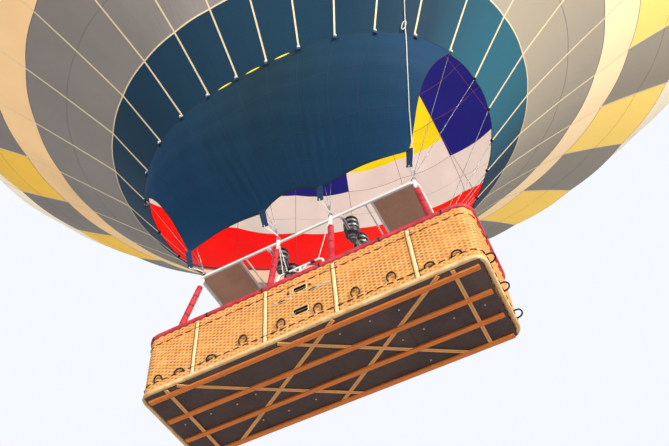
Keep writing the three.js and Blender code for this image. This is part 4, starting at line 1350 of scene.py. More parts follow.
@dataclass
class Crown:
    """The parachute vent, the tapes that it seats against, and the ring that they meet at."""

    form: EnvelopeForm = EnvelopeForm()
    vent_reach: float = 3.56
    fullness: float = 1.02
    seat_depth: float = 0.0106
    cloth: float = 0.008
    flutter: float = 0.006
    seam_width: float = 0.03
    seam_thick: float = 0.003
    sunk: float = 0.001
    tape_width: float = 0.04
    tape_end: float = 3.3
    ring_middle: float = 0.14
    ring_width: float = 0.1
    ring_thick: float = 0.034
    ring_gap: float = 0.0003
    disc_reach: float = 0.24
    loop_half: float = 0.009
    loop_thick: float = 0.002
    steps: int = 8

    def build(self) -> None:
        """Builds the vent, its seams, the tapes and the ring."""
        self.build_vent()
        self.build_tapes()
        self.build_ring()

    def cap(self, reach: Array, depth: float, angle: Array) -> Array:
        """Rings of the dome at distances from the axis, at a depth under its surface."""
        return self.form.place(angle[None, :], self.form.dome_up(reach)[:, None], -depth)

    def build_vent(self) -> None:
        """Builds the vent as a closed cap: its underside from the middle out, then its top back in."""
        angle = np.arange(GORES * self.steps) * TURN / (GORES * self.steps)
        reach = np.linspace(0.2, self.vent_reach, 14)
        share = (reach / self.vent_reach)[:, None, None]
        wave = self.flutter * np.sin(angle * GORES)[None, :, None] * share ** 6
        back = self.seat_depth + self.cloth
        under = self.cap(reach, back, angle) - np.abs(wave) * UPWARD
        top = self.cap(reach, self.seat_depth, angle) - np.abs(wave) * UPWARD
        rings = np.concatenate([under, top[::-1]])
        peak = (EQUATOR_UP + self.form.dome - self.seat_depth) * UPWARD
        surface = polar(rings, peak - self.cloth * UPWARD, peak)
        cloth = [panel(Colour.NAVY, False)]
        vent = build_piece("vent_cap", surface, cloth, ["parachute_vent"], "parachute")
        ups = self.form.dome_up(np.linspace(0.25, self.vent_reach - 0.02, 12))
        low, high = -back - self.seam_thick, -back + self.sunk
        seams = [self.form.strip(gore, ups, self.seam_width, low, high) for gore in range(GORES)]
        build_piece("vent_seams", seams, [SEAM_OUT], (), "parachute")

    def build_tapes(self) -> None:
        """Builds the tapes over the vent's hole, the disc under the ring, and each tape's loop on it."""
        peak = EQUATOR_UP + self.form.dome
        ups = self.form.dome_up(np.linspace(self.disc_reach - 0.03, self.tape_end, 10))
        strips = [self.form.strip(gore, ups, self.tape_width, -0.0095, -0.002) for gore in range(GORES)]
        edge = self.disc_reach
        profile = [(0, -0.009), (edge - 0.004, -0.009), (edge, -0.005), (edge - 0.004, -0.001), (0, -0.001)]
        disc = revolved(profile, 60, (0, 0, peak))
        turn = np.linspace(-0.4, 1.2, 9) * math.pi
        along = self.ring_middle + (self.ring_width / 2 + 0.005) * np.sin(turn)
        height = peak + self.ring_thick / 2 + (self.ring_thick / 2 + 0.004) * np.cos(turn)
        for gore in range(GORES):
            out, across = bearings(gore * TURN / GORES)
            path = np.outer(along, out) + np.outer(height, UPWARD)
            thick = unit(np.outer(np.sin(turn), out) + np.outer(np.cos(turn), UPWARD))
            strips.append(strap(path, -self.loop_half * across, self.loop_thick * thick))
        build_piece("crown_tape_net", [*strips, disc], [WEBBING], ["crown_tapes"])

    def build_ring(self) -> None:
        """Builds the steel ring with rounded edges."""
        height = self.ring_thick - 2 * self.ring_gap
        section = rounded_section(self.ring_width, height, 0.012, 5,
                                  (self.ring_middle, self.ring_thick / 2 + self.ring_gap))
        ring = turned_ring(section, 64, (0, 0, EQUATOR_UP + self.form.dome))
        build_piece("top_ring", ring, [STEEL], ["crown_ring"])


# The scoop


@dataclass(frozen=True)
class Corner:
    """A corner of the scoop: share round its foot, karabiner, the cloth there and its tab's lower end."""

    share: float
    link: Pair
    foot: Triple
    tab: Triple


@dataclass
class Scoop:
    """The dark sheet from the near half of the mouth down to the near karabiners.

    `first` and `last` are the gores that it hangs between, `out` and `drop` its head's place beside the
    mouth. `fold` and `slack` are the heights of the folds over the straps and of the soft waves.
    """

    form: EnvelopeForm = EnvelopeForm()
    first: float = 17.0
    last: float = 28.0
    out: float = 0.042
    drop: float = 0.026
    billow: float = 0.32
    hollows: Pair = (0.2, 0.12)
    hollow_power: float = 1.2
    rises: Triple = (0.025, 0.05, 0.03)
    fold: float = 0.016
    fold_reach: float = 0.055
    slack: Pair = (0.02, 0.012)
    thick: float = 0.006
    columns: int = 176
    rows: int = 56
    seams: int = 11
    level_seams: Pair = (0.36, 0.7)
    slivers: Triple = (21.6, 22.55, 23.5)
    sliver_half: Pair = (0.23, 0.0075)
    tab_widths: Pair = (0.115, 0.095)
    tab_thick: float = 0.009
    patch_width: float = 0.112
    patch_thick: float = 0.014
    corners: tuple[Corner, ...] = (
        Corner(0.0, (-OUTER_SOCKET[0], -OUTER_SOCKET[1]), (-1.94, -0.83, 2.83), (-1.985, -0.68, 2.63)),
        Corner(8 / 22, (-INNER_SOCKET[0], -INNER_SOCKET[1]), (-0.52, -0.92, 2.82), (-0.561, -0.773, 2.66)),
        Corner(14 / 22, (INNER_SOCKET[0], -INNER_SOCKET[1]), (0.46, -0.89, 2.78), (0.407, -0.798, 2.64)),
        Corner(1.0, (OUTER_SOCKET[0], -OUTER_SOCKET[1]), (1.915, -0.84, 2.81), (1.829, -0.676, 2.64)),
    )

    def build(self) -> None:
        """Builds the sheet, its seams and hem, the slivers at its head, and the straps at its corners."""
        self.build_sheet()
        self.build_seams()
        self.build_slivers()
        self.build_straps()

    def slid(self, u: Array, v: Array) -> Array:
        """Share round the mouth of a point on the sheet, whose sides curve in between head and foot."""
        hollow = self.hollows[0] + (self.hollows[1] - self.hollows[0]) * u
        return 0.5 + (u - 0.5) * (1 - hollow * np.sin(math.pi * v ** self.hollow_power))

    def point(self, u: Array | float, v: Array | float, lift: Array | float = 0.0) -> Array:
        """Points on the sheet.

        Each is on a straight line from the mouth's edge to the foot, pushed out by half a sine wave. The
        foot runs straight between the straps, and rises there by half a sine wave. Soft folds run up from
        each strap and fade.

        Args:
            u: Share round the sheet, from the left side.
            v: Share down it, from the head.
            lift: Step out of the sheet.

        Returns:
            Points by height above the runners.
        """
        u, v = np.broadcast_arrays(np.asarray(u, float), np.asarray(v, float))
        slid = self.slid(u, v)
        angle = (self.first + (self.last - self.first) * slid) * TURN / GORES
        level = stacked(np.cos(angle), np.sin(angle), 0.0)
        head = self.form.place(angle, np.full_like(angle, self.form.mouth), 0.0, False) + self.out * level
        head = head - self.drop * UPWARD
        shares = np.array([corner.share for corner in self.corners])
        feet = np.array([corner.foot for corner in self.corners])
        foot = np.stack([np.interp(slid, shares, feet[:, axis]) for axis in range(3)], axis=-1)
        bay = np.clip(np.searchsorted(shares, slid - 1e-9) - 1, 0, 2)
        along = np.clip((slid - shares[bay]) / (shares[bay + 1] - shares[bay]), 0, 1)
        reach = v * (1 - np.array(self.rises)[bay] * np.sin(math.pi * along))
        near = np.abs(slid[..., None] - shares).min(axis=-1)
        fold = self.fold * np.cos(slid * 190) * np.exp(-((near / self.fold_reach) ** 2)) * v ** 3
        slack = self.slack[0] * noise_wave(slid * 22 + 2.5 * v, 0.7) * np.sin(math.pi * v)
        slack = slack + self.slack[1] * noise_wave(9 * v - 6 * slid, 2.1)
        push = self.billow * np.sin(math.pi * np.minimum(1, reach))
        push = push + (fold + slack) * np.sin(math.pi * v * 0.93 + 0.2) + lift
        return head + (foot - head) * reach[..., None] + push[..., None] * level

    def shares(self) -> tuple[Array, Array]:
        """Shares round and down of the sheet's grid."""
        return np.linspace(0, 1, self.columns + 1)[None, :], np.linspace(0, 1, self.rows + 1)[:, None]

    def build_sheet(self) -> None:
        """Builds the cloth and works out its cut: its own area, as long as it is round its middle."""
        u, v = self.shares()
        outer, inner = self.point(u, v, self.thick / 2), self.point(u, v, -self.thick / 2)
        surface = closed_shell(outer, inner)
        sheet = build_piece("scoop_sheet", surface, [SCOOP_CLOTH], ["scoop"])
        sides = np.cross(outer[1:, 1:] - outer[:-1, :-1], outer[1:, :-1] - outer[:-1, 1:])
        area = float(np.linalg.norm(sides, axis=-1).sum()) / 2
        long = float(np.linalg.norm(np.diff(outer[0], axis=0), axis=-1).sum())
        declare_sheet(sheet, area, long)

    def line(self, u: Array | float, v: Array | float, half: Array | float, low: float, high: float,
             upright: bool = False) -> Surface:
        """A flat tape sewn along a line of shares on the sheet, `half` its width in shares to each side."""
        u, v = np.broadcast_arrays(np.asarray(u, float), np.asarray(v, float))
        step = (half, 0.0) if upright else (0.0, half)
        sides = [self.point(np.clip(u + sign * step[0], 0, 1), np.clip(v + sign * step[1], 0, 1), lift)
                 for sign, lift in ((-1, high), (1, high), (1, low), (-1, low))]
        return capped(np.stack(sides, axis=1))

    def build_seams(self) -> None:
        """Builds the upright seams, two level ones, and the hems down the sides and along the foot."""
        down, across = np.linspace(0.0, 1.0, 40), np.linspace(0.0, 1.0, 160)
        high, low = self.thick / 2 + 0.001, -self.thick / 2 - 0.001
        shares = np.arange(1, self.seams) / self.seams
        seams = [self.line(u, down, 0.0006, low, high, True) for u in shares]
        seams += [self.line(across, v, 0.002, low, high) for v in self.level_seams]
        high, low = high + 0.002, low - 0.002
        hems = [self.line(across, v, 0.006, low, high) for v in (0.0, 1.0)]
        hems += [self.line(u, down, 0.003, low, high, True) for u in (0.0, 1.0)]
        build_piece("scoop_seams", seams, [SCOOP_SEAM])
        build_piece("scoop_hem", hems, [HEM])

    def build_slivers(self) -> None:
        """Builds three lens-shaped slivers of yellow cloth along the sheet's head: painted glints of the lit
        inside, with a painted glow.
        """
        step = np.linspace(-1.0, 1.0, 17)
        half_long, half_wide = self.sliver_half
        tapered = half_wide * (1 - step ** 2)
        high, low = self.thick / 2 + 0.008, self.thick / 2
        places = [(gore + half_long * step - self.first) / (self.last - self.first) for gore in self.slivers]
        slivers = [self.line(along, 0.014, tapered, low, high) for along in places]
        build_piece("scoop_slivers", slivers, [PAINTED_GLINT])

    def build_straps(self) -> None:
        """Builds a wide tab at each corner of the foot, and a quick link and thin cable to its karabiner."""
        straps, links = [], []
        steps = np.linspace(0, 1, 10)
        turn = np.linspace(0, TURN, 20, endpoint=False)
        for corner in self.corners:
            top, end = self.point(corner.share, 0.985, 0.006), np.array(corner.tab)
            width = np.interp(steps, (0, 1), self.tab_widths)
            straps.append(self.ribbon(top + (end - top) * steps[:, None], width, self.tab_thick))
            for share in (0.1, 0.9):
                patch = top + (end - top) * np.array([[share], [share + 0.05]])
                straps.append(self.ribbon(patch, np.full(2, self.patch_width), self.patch_thick))
            hook = np.array([*corner.link, LINK_UP + 0.075])
            along = unit(hook - end)
            across = unit(np.cross(along, (0.0, 1.0, 0.0)))
            oval = np.outer(0.02 + 0.045 * np.cos(turn), along) + np.outer(0.018 * np.sin(turn), across)
            links.append(tube(end + oval, 0.005, 8, np.cross(along, across), True))
            links.append(rods(end + 0.06 * along, hook, 0.008))
        build_piece("scoop_straps", straps, [BLUE_WEBBING])
        build_piece("scoop_links", links, [WHITE_PAINT])

    def ribbon(self, path: Array, width: Array, thick: float) -> Surface:
        """A flat strap along a straight path, level across."""
        ahead = np.broadcast_to(unit(path[-1] - path[0]), path.shape)
        side = unit(np.cross(ahead, (0.0, 1.0, 0.0))) * (width / 2)[:, None]
        face = unit(np.cross(side, ahead)) * thick / 2
        return strap(path - face, side, 2 * face)


# Rigging


@dataclass
class Rigging:
    """Karabiners, cables, the knots at the tapes' ends, and the lines that the pilot pulls.

    `crown_swing` gives heights of the crown line and its angles there in degrees, and `crown_route` its
    way over the scoop, as listed points.
    """

    form: EnvelopeForm = EnvelopeForm()
    link_half: float = 0.047
    link_tube: float = 0.0065
    gate_out: float = 0.029
    ring_radius: float = 0.019
    cable: float = 0.0042
    crimp: float = 0.0085
    outer_tapes: int = 4
    knot: float = 0.029
    knot_out: float = 0.05
    loop_radius: float = 0.02
    line: float = 0.006
    crown_line: float = 0.008
    crown_swing: tuple[Pair, Pair] = ((5.9, 9.6), (317.7, 315.0))
    crown_route: tuple[Triple, ...] = (
        (1.815, -0.545, 2.552), (1.91, -0.74, 2.72), (2.012, -0.913, 2.93), (2.083, -1.054, 3.102),
        (2.16, -1.22, 3.278), (2.229, -1.346, 3.424), (2.314, -1.502, 3.613), (2.399, -1.656, 3.813),
        (2.439, -1.715, 3.96), (2.483, -1.772, 4.112), (2.514, -1.808, 4.248), (2.544, -1.845, 4.39),
        (2.58, -1.888, 4.598), (2.626, -1.961, 4.726), (2.683, -2.053, 4.889), (2.743, -2.146, 5.056),
        (2.829, -2.292, 5.316), (2.918, -2.438, 5.585),
    )

    def build(self) -> None:
        """Builds all the rigging."""
        self.build_stays()
        self.build_tape_ends()
        self.build_pull_lines()
        self.build_crown_line()

    def socket_of(self, gore: int) -> Pair:
        """The place of the socket that a tape's cable comes down to."""
        end = self.form.tape_end(gore)
        half = GORES // 2
        outer = min(gore % half, half - gore % half) <= self.outer_tapes
        x, y = OUTER_SOCKET if outer else INNER_SOCKET
        far = gore == 0 or (end[1] > 0 and gore != half)
        return (math.copysign(x, end[0]), y if far else -y)

    def build_stays(self) -> None:
        """Builds the rigging over each socket."""
        for side, (x, y), part in ((-1, OUTER_SOCKET, "end"), (-1, INNER_SOCKET, "middle"),
                                   (1, INNER_SOCKET, "middle"), (1, OUTER_SOCKET, "end")):
            for sign, row in ROWS:
                self.build_stay(side * x, sign * y, f"{row}_{dict(SIDES)[side]}_{part}")

    def build_stay(self, x: float, y: float, place: str) -> None:
        """Builds one socket's karabiner, the ring above it, and the cables with their crimped ends."""
        turn = np.linspace(0, TURN, 40, endpoint=False)
        middle = np.array([x, y, LINK_UP])
        round_up = np.sign(np.cos(turn)) * np.abs(np.cos(turn)) ** 0.75
        oval = middle + stacked(0.62 * self.link_half * np.sin(turn), 0.0, self.link_half * round_up)
        gate = middle + (self.gate_out, 0, 0)
        top = middle + (self.link_half + 0.004) * UPWARD
        ring = stacked(0.0, self.ring_radius * np.sin(turn), 0.006 + self.ring_radius * np.cos(turn))
        ends = [gore for gore in range(GORES) if np.allclose(self.socket_of(gore), (x, y))]
        far = np.array([self.form.tape_end(gore) for gore in ends]) - 0.012 * UPWARD
        start = np.repeat((top + 0.018 * UPWARD)[None], len(ends), axis=0)
        ahead = unit(far - start)
        steel = [
            tube(oval, self.link_tube, 10, (0, 1, 0), True),
            rods(gate - 0.02 * UPWARD, gate + 0.022 * UPWARD, 0.009, 12),
            rods(gate - 0.006 * UPWARD, gate + 0.012 * UPWARD, 0.0115, 6),
            tube(top + ring, 0.005, 8, (1, 0, 0), True),
            rods(start + ahead * 0.05, start + ahead * 0.115, self.crimp),
            rods(far - ahead * 0.13, far - ahead * 0.075, self.crimp),
        ]
        cables = rods(start, far - ahead * 0.02, self.cable).finished(1)
        build_piece(f"rigging_{place}", [*steel, cables], [STEEL, CABLE], [f"stay_{place}"])

    def build_tape_ends(self) -> None:
        """Builds the loop and knot at each tape's end: pale over the scoop, dark elsewhere."""
        pale, dark, tabs = [], [], []
        turn = np.linspace(0, TURN, 16, endpoint=False)
        for gore in range(GORES):
            end = self.form.tape_end(gore)
            out, across = bearings(gore * TURN / GORES)
            held = Scoop.first <= gore <= Scoop.last
            middle = end + out * self.knot_out * held
            knots = pale if held else dark
            knots.append(ball(middle + out * 0.008, self.knot, 10, 1.2))
            knots.append(ball(middle + 0.035 * UPWARD, self.knot * 0.7, 8))
            if held:
                path = end + out * 0.056 - np.outer(np.linspace(0.0, 0.11, 4), UPWARD)
                tabs.append(strap(path, across * 0.03, out * 0.006))
            else:
                loop = np.outer(np.cos(turn), out) + np.outer(np.sin(turn) - 1, UPWARD)
                dark.append(tube(end + self.loop_radius * loop, 0.0045, 6, across, True))
        build_piece("tape_knots_pale", pale, [PALE_ROPE])
        build_piece("tape_knots_dark", dark, [BLACK_ROPE])
        build_piece("scoop_head_tabs", tabs, [BLUE_WEBBING])

    def taut(self, stops: Sequence[Array | Triple], steps: int) -> Surface:
        """A line pulled tight over stops, straight between them."""
        points = np.array(stops)
        runs = [np.linspace(a, b, steps, endpoint=False) for a, b in zip(points[:-1], points[1:])]
        return tube(np.concatenate([*runs, points[-1:]]), self.line, 6, (0.3, 0.5, 0.81))

    def build_pull_lines(self) -> None:
        """Builds two lines from the inner wall over the mouth's rim to the frame, and the rail's ropes."""
        corner = np.array([1.79, 0.50, 2.43])
        lines = []
        for wall_gore, wall_up, rim_gore in ((7.0, 27.9, 3.0), (6.0, 24.5, 2.5)):
            wall = self.form.place(wall_gore * TURN / GORES, wall_up, -0.02)
            rim = self.form.place(rim_gore * TURN / GORES, self.form.mouth + 0.12, -0.06)
            lines.append(self.taut([wall, rim, corner + (0.02, 0.02 * rim_gore, 0)], 12))
        lines.append(ball(corner + (0.02, 0.055, 0), 0.022, 8))
        build_piece("pull_lines", lines, [PINK_ROPE])
        ropes = [self.taut([(x, -INNER_SOCKET[1], LINK_UP - 0.05), (foot, -0.7, 1.335)], 4)
                 for x, foot in ((-0.45, -0.27), (-0.45, -0.2), (0.45, 0.27))]
        build_piece("rail_ropes", ropes, [PALE_ROPE])

    def build_crown_line(self) -> None:
        """Builds the crown line from the near right karabiner, over the scoop, to the crown ring.

        Above the mouth it lies on the cloth and swings round it a little. A small loop hangs from it
        beside the mouth row.
        """
        ups = np.concatenate([np.linspace(5.9, EQUATOR_UP, 34), self.form.ups(EQUATOR_UP, 33.85, 24)[1:]])
        outside = self.form.place(np.radians(np.interp(ups, *self.crown_swing)), ups, 0.014)
        out = bearings(math.radians(self.crown_swing[1][-1]))[0]
        ring = 0.19 * out + (EQUATOR_UP + self.form.dome + 0.02) * UPWARD
        route = np.array(self.crown_route)
        bridge = np.linspace(route[-1], outside[0], 14)[1:-1]
        path = np.concatenate([route, bridge, outside, ring[None]])
        turn = np.linspace(0, TURN, 30)
        tie, long, wide = route[13], 0.2, 0.06
        aside, down = unit(np.array([-0.9, -0.45, 0.0])), unit(route[11] - route[13])
        fall = (1 - np.cos(turn)) / 2
        loop = tie + np.outer(long * fall, down) + np.outer(wide * (np.sin(turn) / 2 + 0.8 * fall), aside)
        pieces = [
            tube(path, self.crown_line, 8, (0.6, 0.8, 0.05)),
            tube(loop, self.crown_line, 6, np.cross(down, aside)),
            ball(tie, 2 * self.crown_line),
        ]
        build_piece("crown_line", pieces, [PALE_ROPE])


# The basket


@dataclass(frozen=True)
class Weave:
    """Cane woven round upright stakes, as a height field over a wall.

    A row of cane stands out over one stake and goes behind the next, and the row above does the reverse:
    the height is the cosine of half a turn for each stake plus half a turn for each row. Across a row it
    is rounded as a cosine. The mark is deepest between the rows and behind a stake, and the wicker's
    painted shade follows it.
    """

    stake: float = 0.06
    row: float = 0.028
    swing: float = 0.0045
    swell: float = 0.004

    def field(self, across: Array, up: Array) -> tuple[Array, Array]:
        """Heights and marks at places given by metres across and up."""
        place = up / self.row
        number = np.floor(place + 1e-6)
        inside = place - number - 0.5
        front = np.cos(math.pi * (across / self.stake + number))
        bump = np.sqrt(np.maximum(0.0, np.cos(math.pi * inside)))
        lift = self.swing * front + self.swell * bump
        mark = np.clip(0.75 * (1 - bump) + 0.45 * np.clip(-front, 0, 1), 0, 1)
        return lift, mark


@dataclass(frozen=True)
class Opening:
    """A hole in a wall, from its left edge to its right and from its foot to its head."""

    left: float
    right: float
    low: float
    high: float


def pierced_shell(outer: Array, inner: Array, marks: tuple[Array, Array], hole: Array) -> Surface:
    """Closes a shell as `closed_shell` does, leaves out the cells of a mask, and walls the holes' edges.

    Args:
        outer: Rows by columns by 3.
        inner: The same grid on the other side.
        marks: Values for the outer and the inner points.
        hole: True for each cell that is left out.

    Returns:
        One closed surface.
    """
    rows, columns = outer.shape[:2]
    sheet = closed_shell(outer, inner, marks=marks)
    whole = np.ones((1, columns - 1), bool)
    flat = np.concatenate([~hole, whole, ~hole[::-1], whole]).reshape(-1)
    for parts in (sheet.faces, sheet.uvs, sheet.finishes):
        parts[0] = parts[0][flat]
    number = np.arange(2 * rows * columns).reshape(2 * rows, columns)
    front, back = number[:rows], number[::-1][:rows]
    padded = np.pad(hole, 1)
    walls = []
    for axis, shift in ((0, -1), (0, 1), (1, -1), (1, 1)):
        r, c = np.nonzero(hole & ~np.roll(padded, -shift, axis=axis)[1:-1, 1:-1])
        if axis == 0:
            line = r + (shift > 0)
            a, b = (line, c), (line, c + 1)
        else:
            line = c + (shift > 0)
            a, b = (r, line), (r + 1, line)
        wall = np.stack([front[a], front[b], back[b], back[a]], axis=-1)
        walls.append(wall[:, ::-1] if (axis == 0) == (shift > 0) else wall)
    wall = np.concatenate(walls)
    if len(wall):
        used = sheet.faces[0][np.isin(sheet.faces[0], wall[0]).sum(axis=1) == 2]
        wall = wall if consistent(used, wall[0]) else wall[:, ::-1]
    sheet.add(wall, 1)
    return sheet


def consistent(neighbours: Array, face: Array) -> bool:
    """Whether a face walks the edge it shares with each neighbour the other way, as closed surfaces need."""
    steps = set(zip(face.tolist(), np.roll(face, -1).tolist()))
    for other in neighbours:
        for step in zip(other.tolist(), np.roll(other, -1).tolist()):
            if step in steps:
                return False
    return True


@dataclass
class Basket:
    """The wicker basket: walls, rim, posts, band, partitions, ropes, floor, runners and slats.

    The arches are handles by their distance from the middle, and the staples by that, their width and
    their height. Screws are half of those under the floor, the others lie opposite. Each pair of slats
    is given by its place on the near side, on the far side, and its height.
    """

    line: PlanLine = PlanLine(2.425, 0.74, 0.18, 0.045, 0.55)
    wall: float = 0.045
    low: float = 0.07
    high: float = 1.06
    weave: Weave = Weave()
    fine: Weave = Weave(0.05, 0.024, 0.004, 0.0035)
    holes: tuple[Opening, ...] = (Opening(-0.1, 0.12, 0.33, 0.46), Opening(-0.09, 0.11, 0.755, 0.87))
    cross_x: float = 0.51
    partition_y: float = 0.69
    partition_ups: Pair = (0.05, 0.985)
    posts: tuple[float, ...] = (-1.59, -0.51, 0.51, 1.59)
    post_width: float = 0.058
    rim_middle_up: float = 1.1008
    rim_width: float = 0.108
    rim_height: float = 0.083
    rim_out: float = -0.0225
    rim_pinch: float = 0.078
    strap_spacing: float = 0.87
    band_up: float = 0.0715
    rope_up: float = 0.205
    rope: float = 0.006
    stitch_up: float = 0.925
    arches: tuple[float, ...] = (-0.83, -0.27, 0.26, 0.78, 1.27)
    arch_size: Pair = (0.115, 0.155)
    staples: tuple[Triple, ...] = (
        (-2.13, 0.12, 0.09), (-1.8, 0.14, 0.05), (-1.31, 0.14, 0.05), (1.76, 0.13, 0.05), (2.11, 0.13, 0.06),
    )
    runners: tuple[float, ...] = (-0.59, -0.165, 0.26, 0.655)
    runner_half: float = 2.31
    runner_width: float = 0.07
    board: Pair = (2.345, 0.685)
    screws: tuple[Pair, ...] = (
        (1.2, -0.435), (1.345, 0.002), (1.741, 0.019), (2.152, 0.011), (1.041, 0.041), (1.215, 0.538),
        (0.816, -0.449), (0.399, -0.44),
    )
    slats: tuple[Triple, ...] = (
        (1.82, -0.17, 0.0195), (-0.35, 1.78, 0.0125), (0.43, -1.74, 0.0195), (-1.83, 0.29, 0.0125),
        (-2.0, -2.0, 0.012), (2.0, 2.0, 0.012),
    )
    slat_y: float = 0.69
    slat_tall: float = 0.0105
    slat_width: float = 0.0235
    slat_shift: float = 0.0135

    def build(self) -> None:
        """Builds every part of the basket."""
        self.build_walls()
        self.build_partitions()
        self.build_rim()
        self.build_posts()
        self.build_band()
        self.build_ropes()
        self.build_steps()
        self.build_floor()
        self.build_runners()

    # Walls

    def half_wall(self, start: float, stop: float) -> Surface:
        """Half of the woven wall between two distances round the basket, with its step holes open."""
        columns = round((stop - start) / self.weave.stake * 3)
        rows = round((self.high - self.low) / self.weave.row * 3)
        across = np.linspace(start, stop, columns + 1)[None, :]
        up = self.low + np.arange(rows + 1)[:, None] * self.weave.row / 3
        up = np.minimum(up, self.high)
        lift, mark = self.weave.field(across, up)
        back_lift, back_mark = self.weave.field(across + self.weave.stake, up)
        outer = self.line.place(across, lift, up)
        inner = self.line.place(across, -self.wall - back_lift * 0.8, up)
        middle = (self.line.place(across[:, 1:]) + self.line.place(across[:, :-1])) / 2
        height = (up[1:] + up[:-1]) / 2
        hole = np.zeros((rows, columns), bool)
        for opening in self.holes:
            wide = (middle[..., 0] > opening.left) & (middle[..., 0] < opening.right)
            wide = wide & (np.abs(middle[..., 1]) > self.line.half_y - 0.04)
            hole |= wide & (height > opening.low) & (height < opening.high)
        return pierced_shell(outer, inner, (mark, back_mark), hole)

    def build_walls(self) -> None:
        """Builds the near and far halves of the wall, and the cane that edges the step holes."""
        left, right = self.line.left(0.0), self.line.right(0.0)
        for name, start, stop in (("near", left, right + self.line.length()), ("far", right, left)):
            half = self.half_wall(start, stop)
            build_piece(f"wicker_{name}", half, [WICKER, BLACK_STRAP], ["basket_wall"])
        edges = []
        for hole in self.holes:
            plan = PlanLine((hole.right - hole.left) / 2, (hole.high - hole.low) / 2, 0.02)
            flat = plan.place(plan.stations(0.05, 4))
            up = (hole.low + hole.high) / 2
            for side, _ in ROWS:
                middle = np.array([(hole.left + hole.right) / 2, side * self.line.half_y, up])
                for depth in (0.006, -0.042):
                    leaned = depth + self.line.lean * (up - self.line.level)
                    edges.append(tube(middle + stacked(flat[:, 0], side * leaned, flat[:, 1]), 0.006, 8,
                                      (0, 1, 0), True))
        build_piece("step_hole_edges", edges, [STRAW_POST])

    def flat_panel(self, start: Array, end: Array, low: float, high: float, thick: float) -> Surface:
        """A straight woven panel between two floor points."""
        long = float(np.linalg.norm(end - start))
        columns, rows = round(long / self.fine.stake * 2), round((high - low) / self.fine.row * 3)
        across = np.linspace(0, long, columns + 1)[None, :]
        up = low + (high - low) * np.arange(rows + 1)[:, None] / rows
        lift, mark = self.fine.field(across, up - low)
        back_lift, back_mark = self.fine.field(across + self.fine.stake, up - low)
        along = (end - start) / long
        side = np.array([-along[1], along[0]])
        front = thick / 2 - 0.007 + lift
        back = -(thick / 2 - 0.007 + back_lift)
        outer, inner = [stacked(start[0] + along[0] * across + side[0] * out,
                                start[1] + along[1] * across + side[1] * out, up) for out in (front, back)]
        return closed_shell(outer, inner, marks=(mark, back_mark))

    def build_partitions(self) -> None:
        """Builds the woven partitions with a round leather-covered bar on the head of each."""
        bars = []
        x, y = self.cross_x, self.partition_y
        low, high = self.partition_ups
        swell = 0.026 - 0.004 * np.exp(-((np.linspace(-3, 3, 30) % 1 - 0.5) / 0.12) ** 2)
        for side, name in SIDES:
            near, far = sorted((side * 0.535, side * 2.33))
            lines = (("cross", (side * x, -y), (side * x, y)), ("long", (near, 0.0), (far, 0.0)))
            for kind, start, end in lines:
                wall = self.flat_panel(np.array(start), np.array(end), low, high, 0.04)
                build_piece(f"wicker_{kind}_{name}", wall, [WICKER], [f"partition_{kind}_{name}"])
                bars.append(tube(np.linspace((*start, high), (*end, high), 30), swell, 14))
        bar = build_piece("partition_pads", bars, [RED_PAD])

    # Rim

    def build_rim(self) -> None:
        """Builds the padded rim, drawn in where a strap goes round it, with a seam line and the straps."""
        around = self.line.stations(0.03, 12)
        whole = self.line.length()
        count = round(whole / self.strap_spacing)
        straps = (np.arange(count) + 0.5) * whole / count
        gap = np.abs(np.mod(around[:, None] - straps[None, :] + whole / 2, whole) - whole / 2).min(axis=1)
        pinch = np.exp(-((gap / 0.035) ** 2))
        section = rounded_section(self.rim_width, self.rim_height, 0.037, 6)
        soft = 1 - 0.085 * pinch + 0.008 * noise_wave(around * 6, 1.3)
        points = self.swept(around, section, self.rim_out, self.rim_middle_up, soft)
        rim = build_piece("rim_padding", looped(points), [RED_PAD], ["rim_pad"])
        bands = []
        tight = 1 - self.rim_pinch
        side = np.array([-0.012, 0.012, 0.012, -0.012])
        thick = np.array([0.0045, 0.0045, -0.002, -0.002])
        size = np.hypot(section[:, 0], section[:, 1])[:, None]
        grow = (size * tight + thick[None, :]) / size
        out, up = self.rim_out + section[:, :1] * grow, self.rim_middle_up + section[:, 1:] * grow
        face = self.rim_out + self.rim_width / 2 * tight + 0.004
        for middle in straps:
            bands.append(looped(self.line.place(middle + side[None, :], out, up)))
            ends = np.array([-1.0, 1.0])
            buckle = self.line.place(middle + 0.02 * ends, face, self.rim_middle_up + 0.012 * ends)
            bands.append(rods(*buckle, 0.006, 6))
        build_piece("rim_straps", bands, [BLACK_STRAP])
        seam = []
        for out_at, up_at in ((0.0, -self.rim_height / 2), (-self.rim_width / 2 + 0.006, -0.012)):
            path = self.line.place(around, self.rim_out + out_at * soft, self.rim_middle_up + up_at * soft)
            seam.append(tube(path, 0.0045, 6, closed=True))
        build_piece("rim_piping", seam, [TAN_TRIM])

    def swept(self, around: Array, section: Array, out: float, up: float, size: Array) -> Array:
        """A section carried round the basket, its middle at a step out and a height, scaled as it goes."""
        across, rise = [part[None, :] * size[:, None] for part in section.T]
        return self.line.place(around[:, None], out + across, up + rise)

    # Posts and band

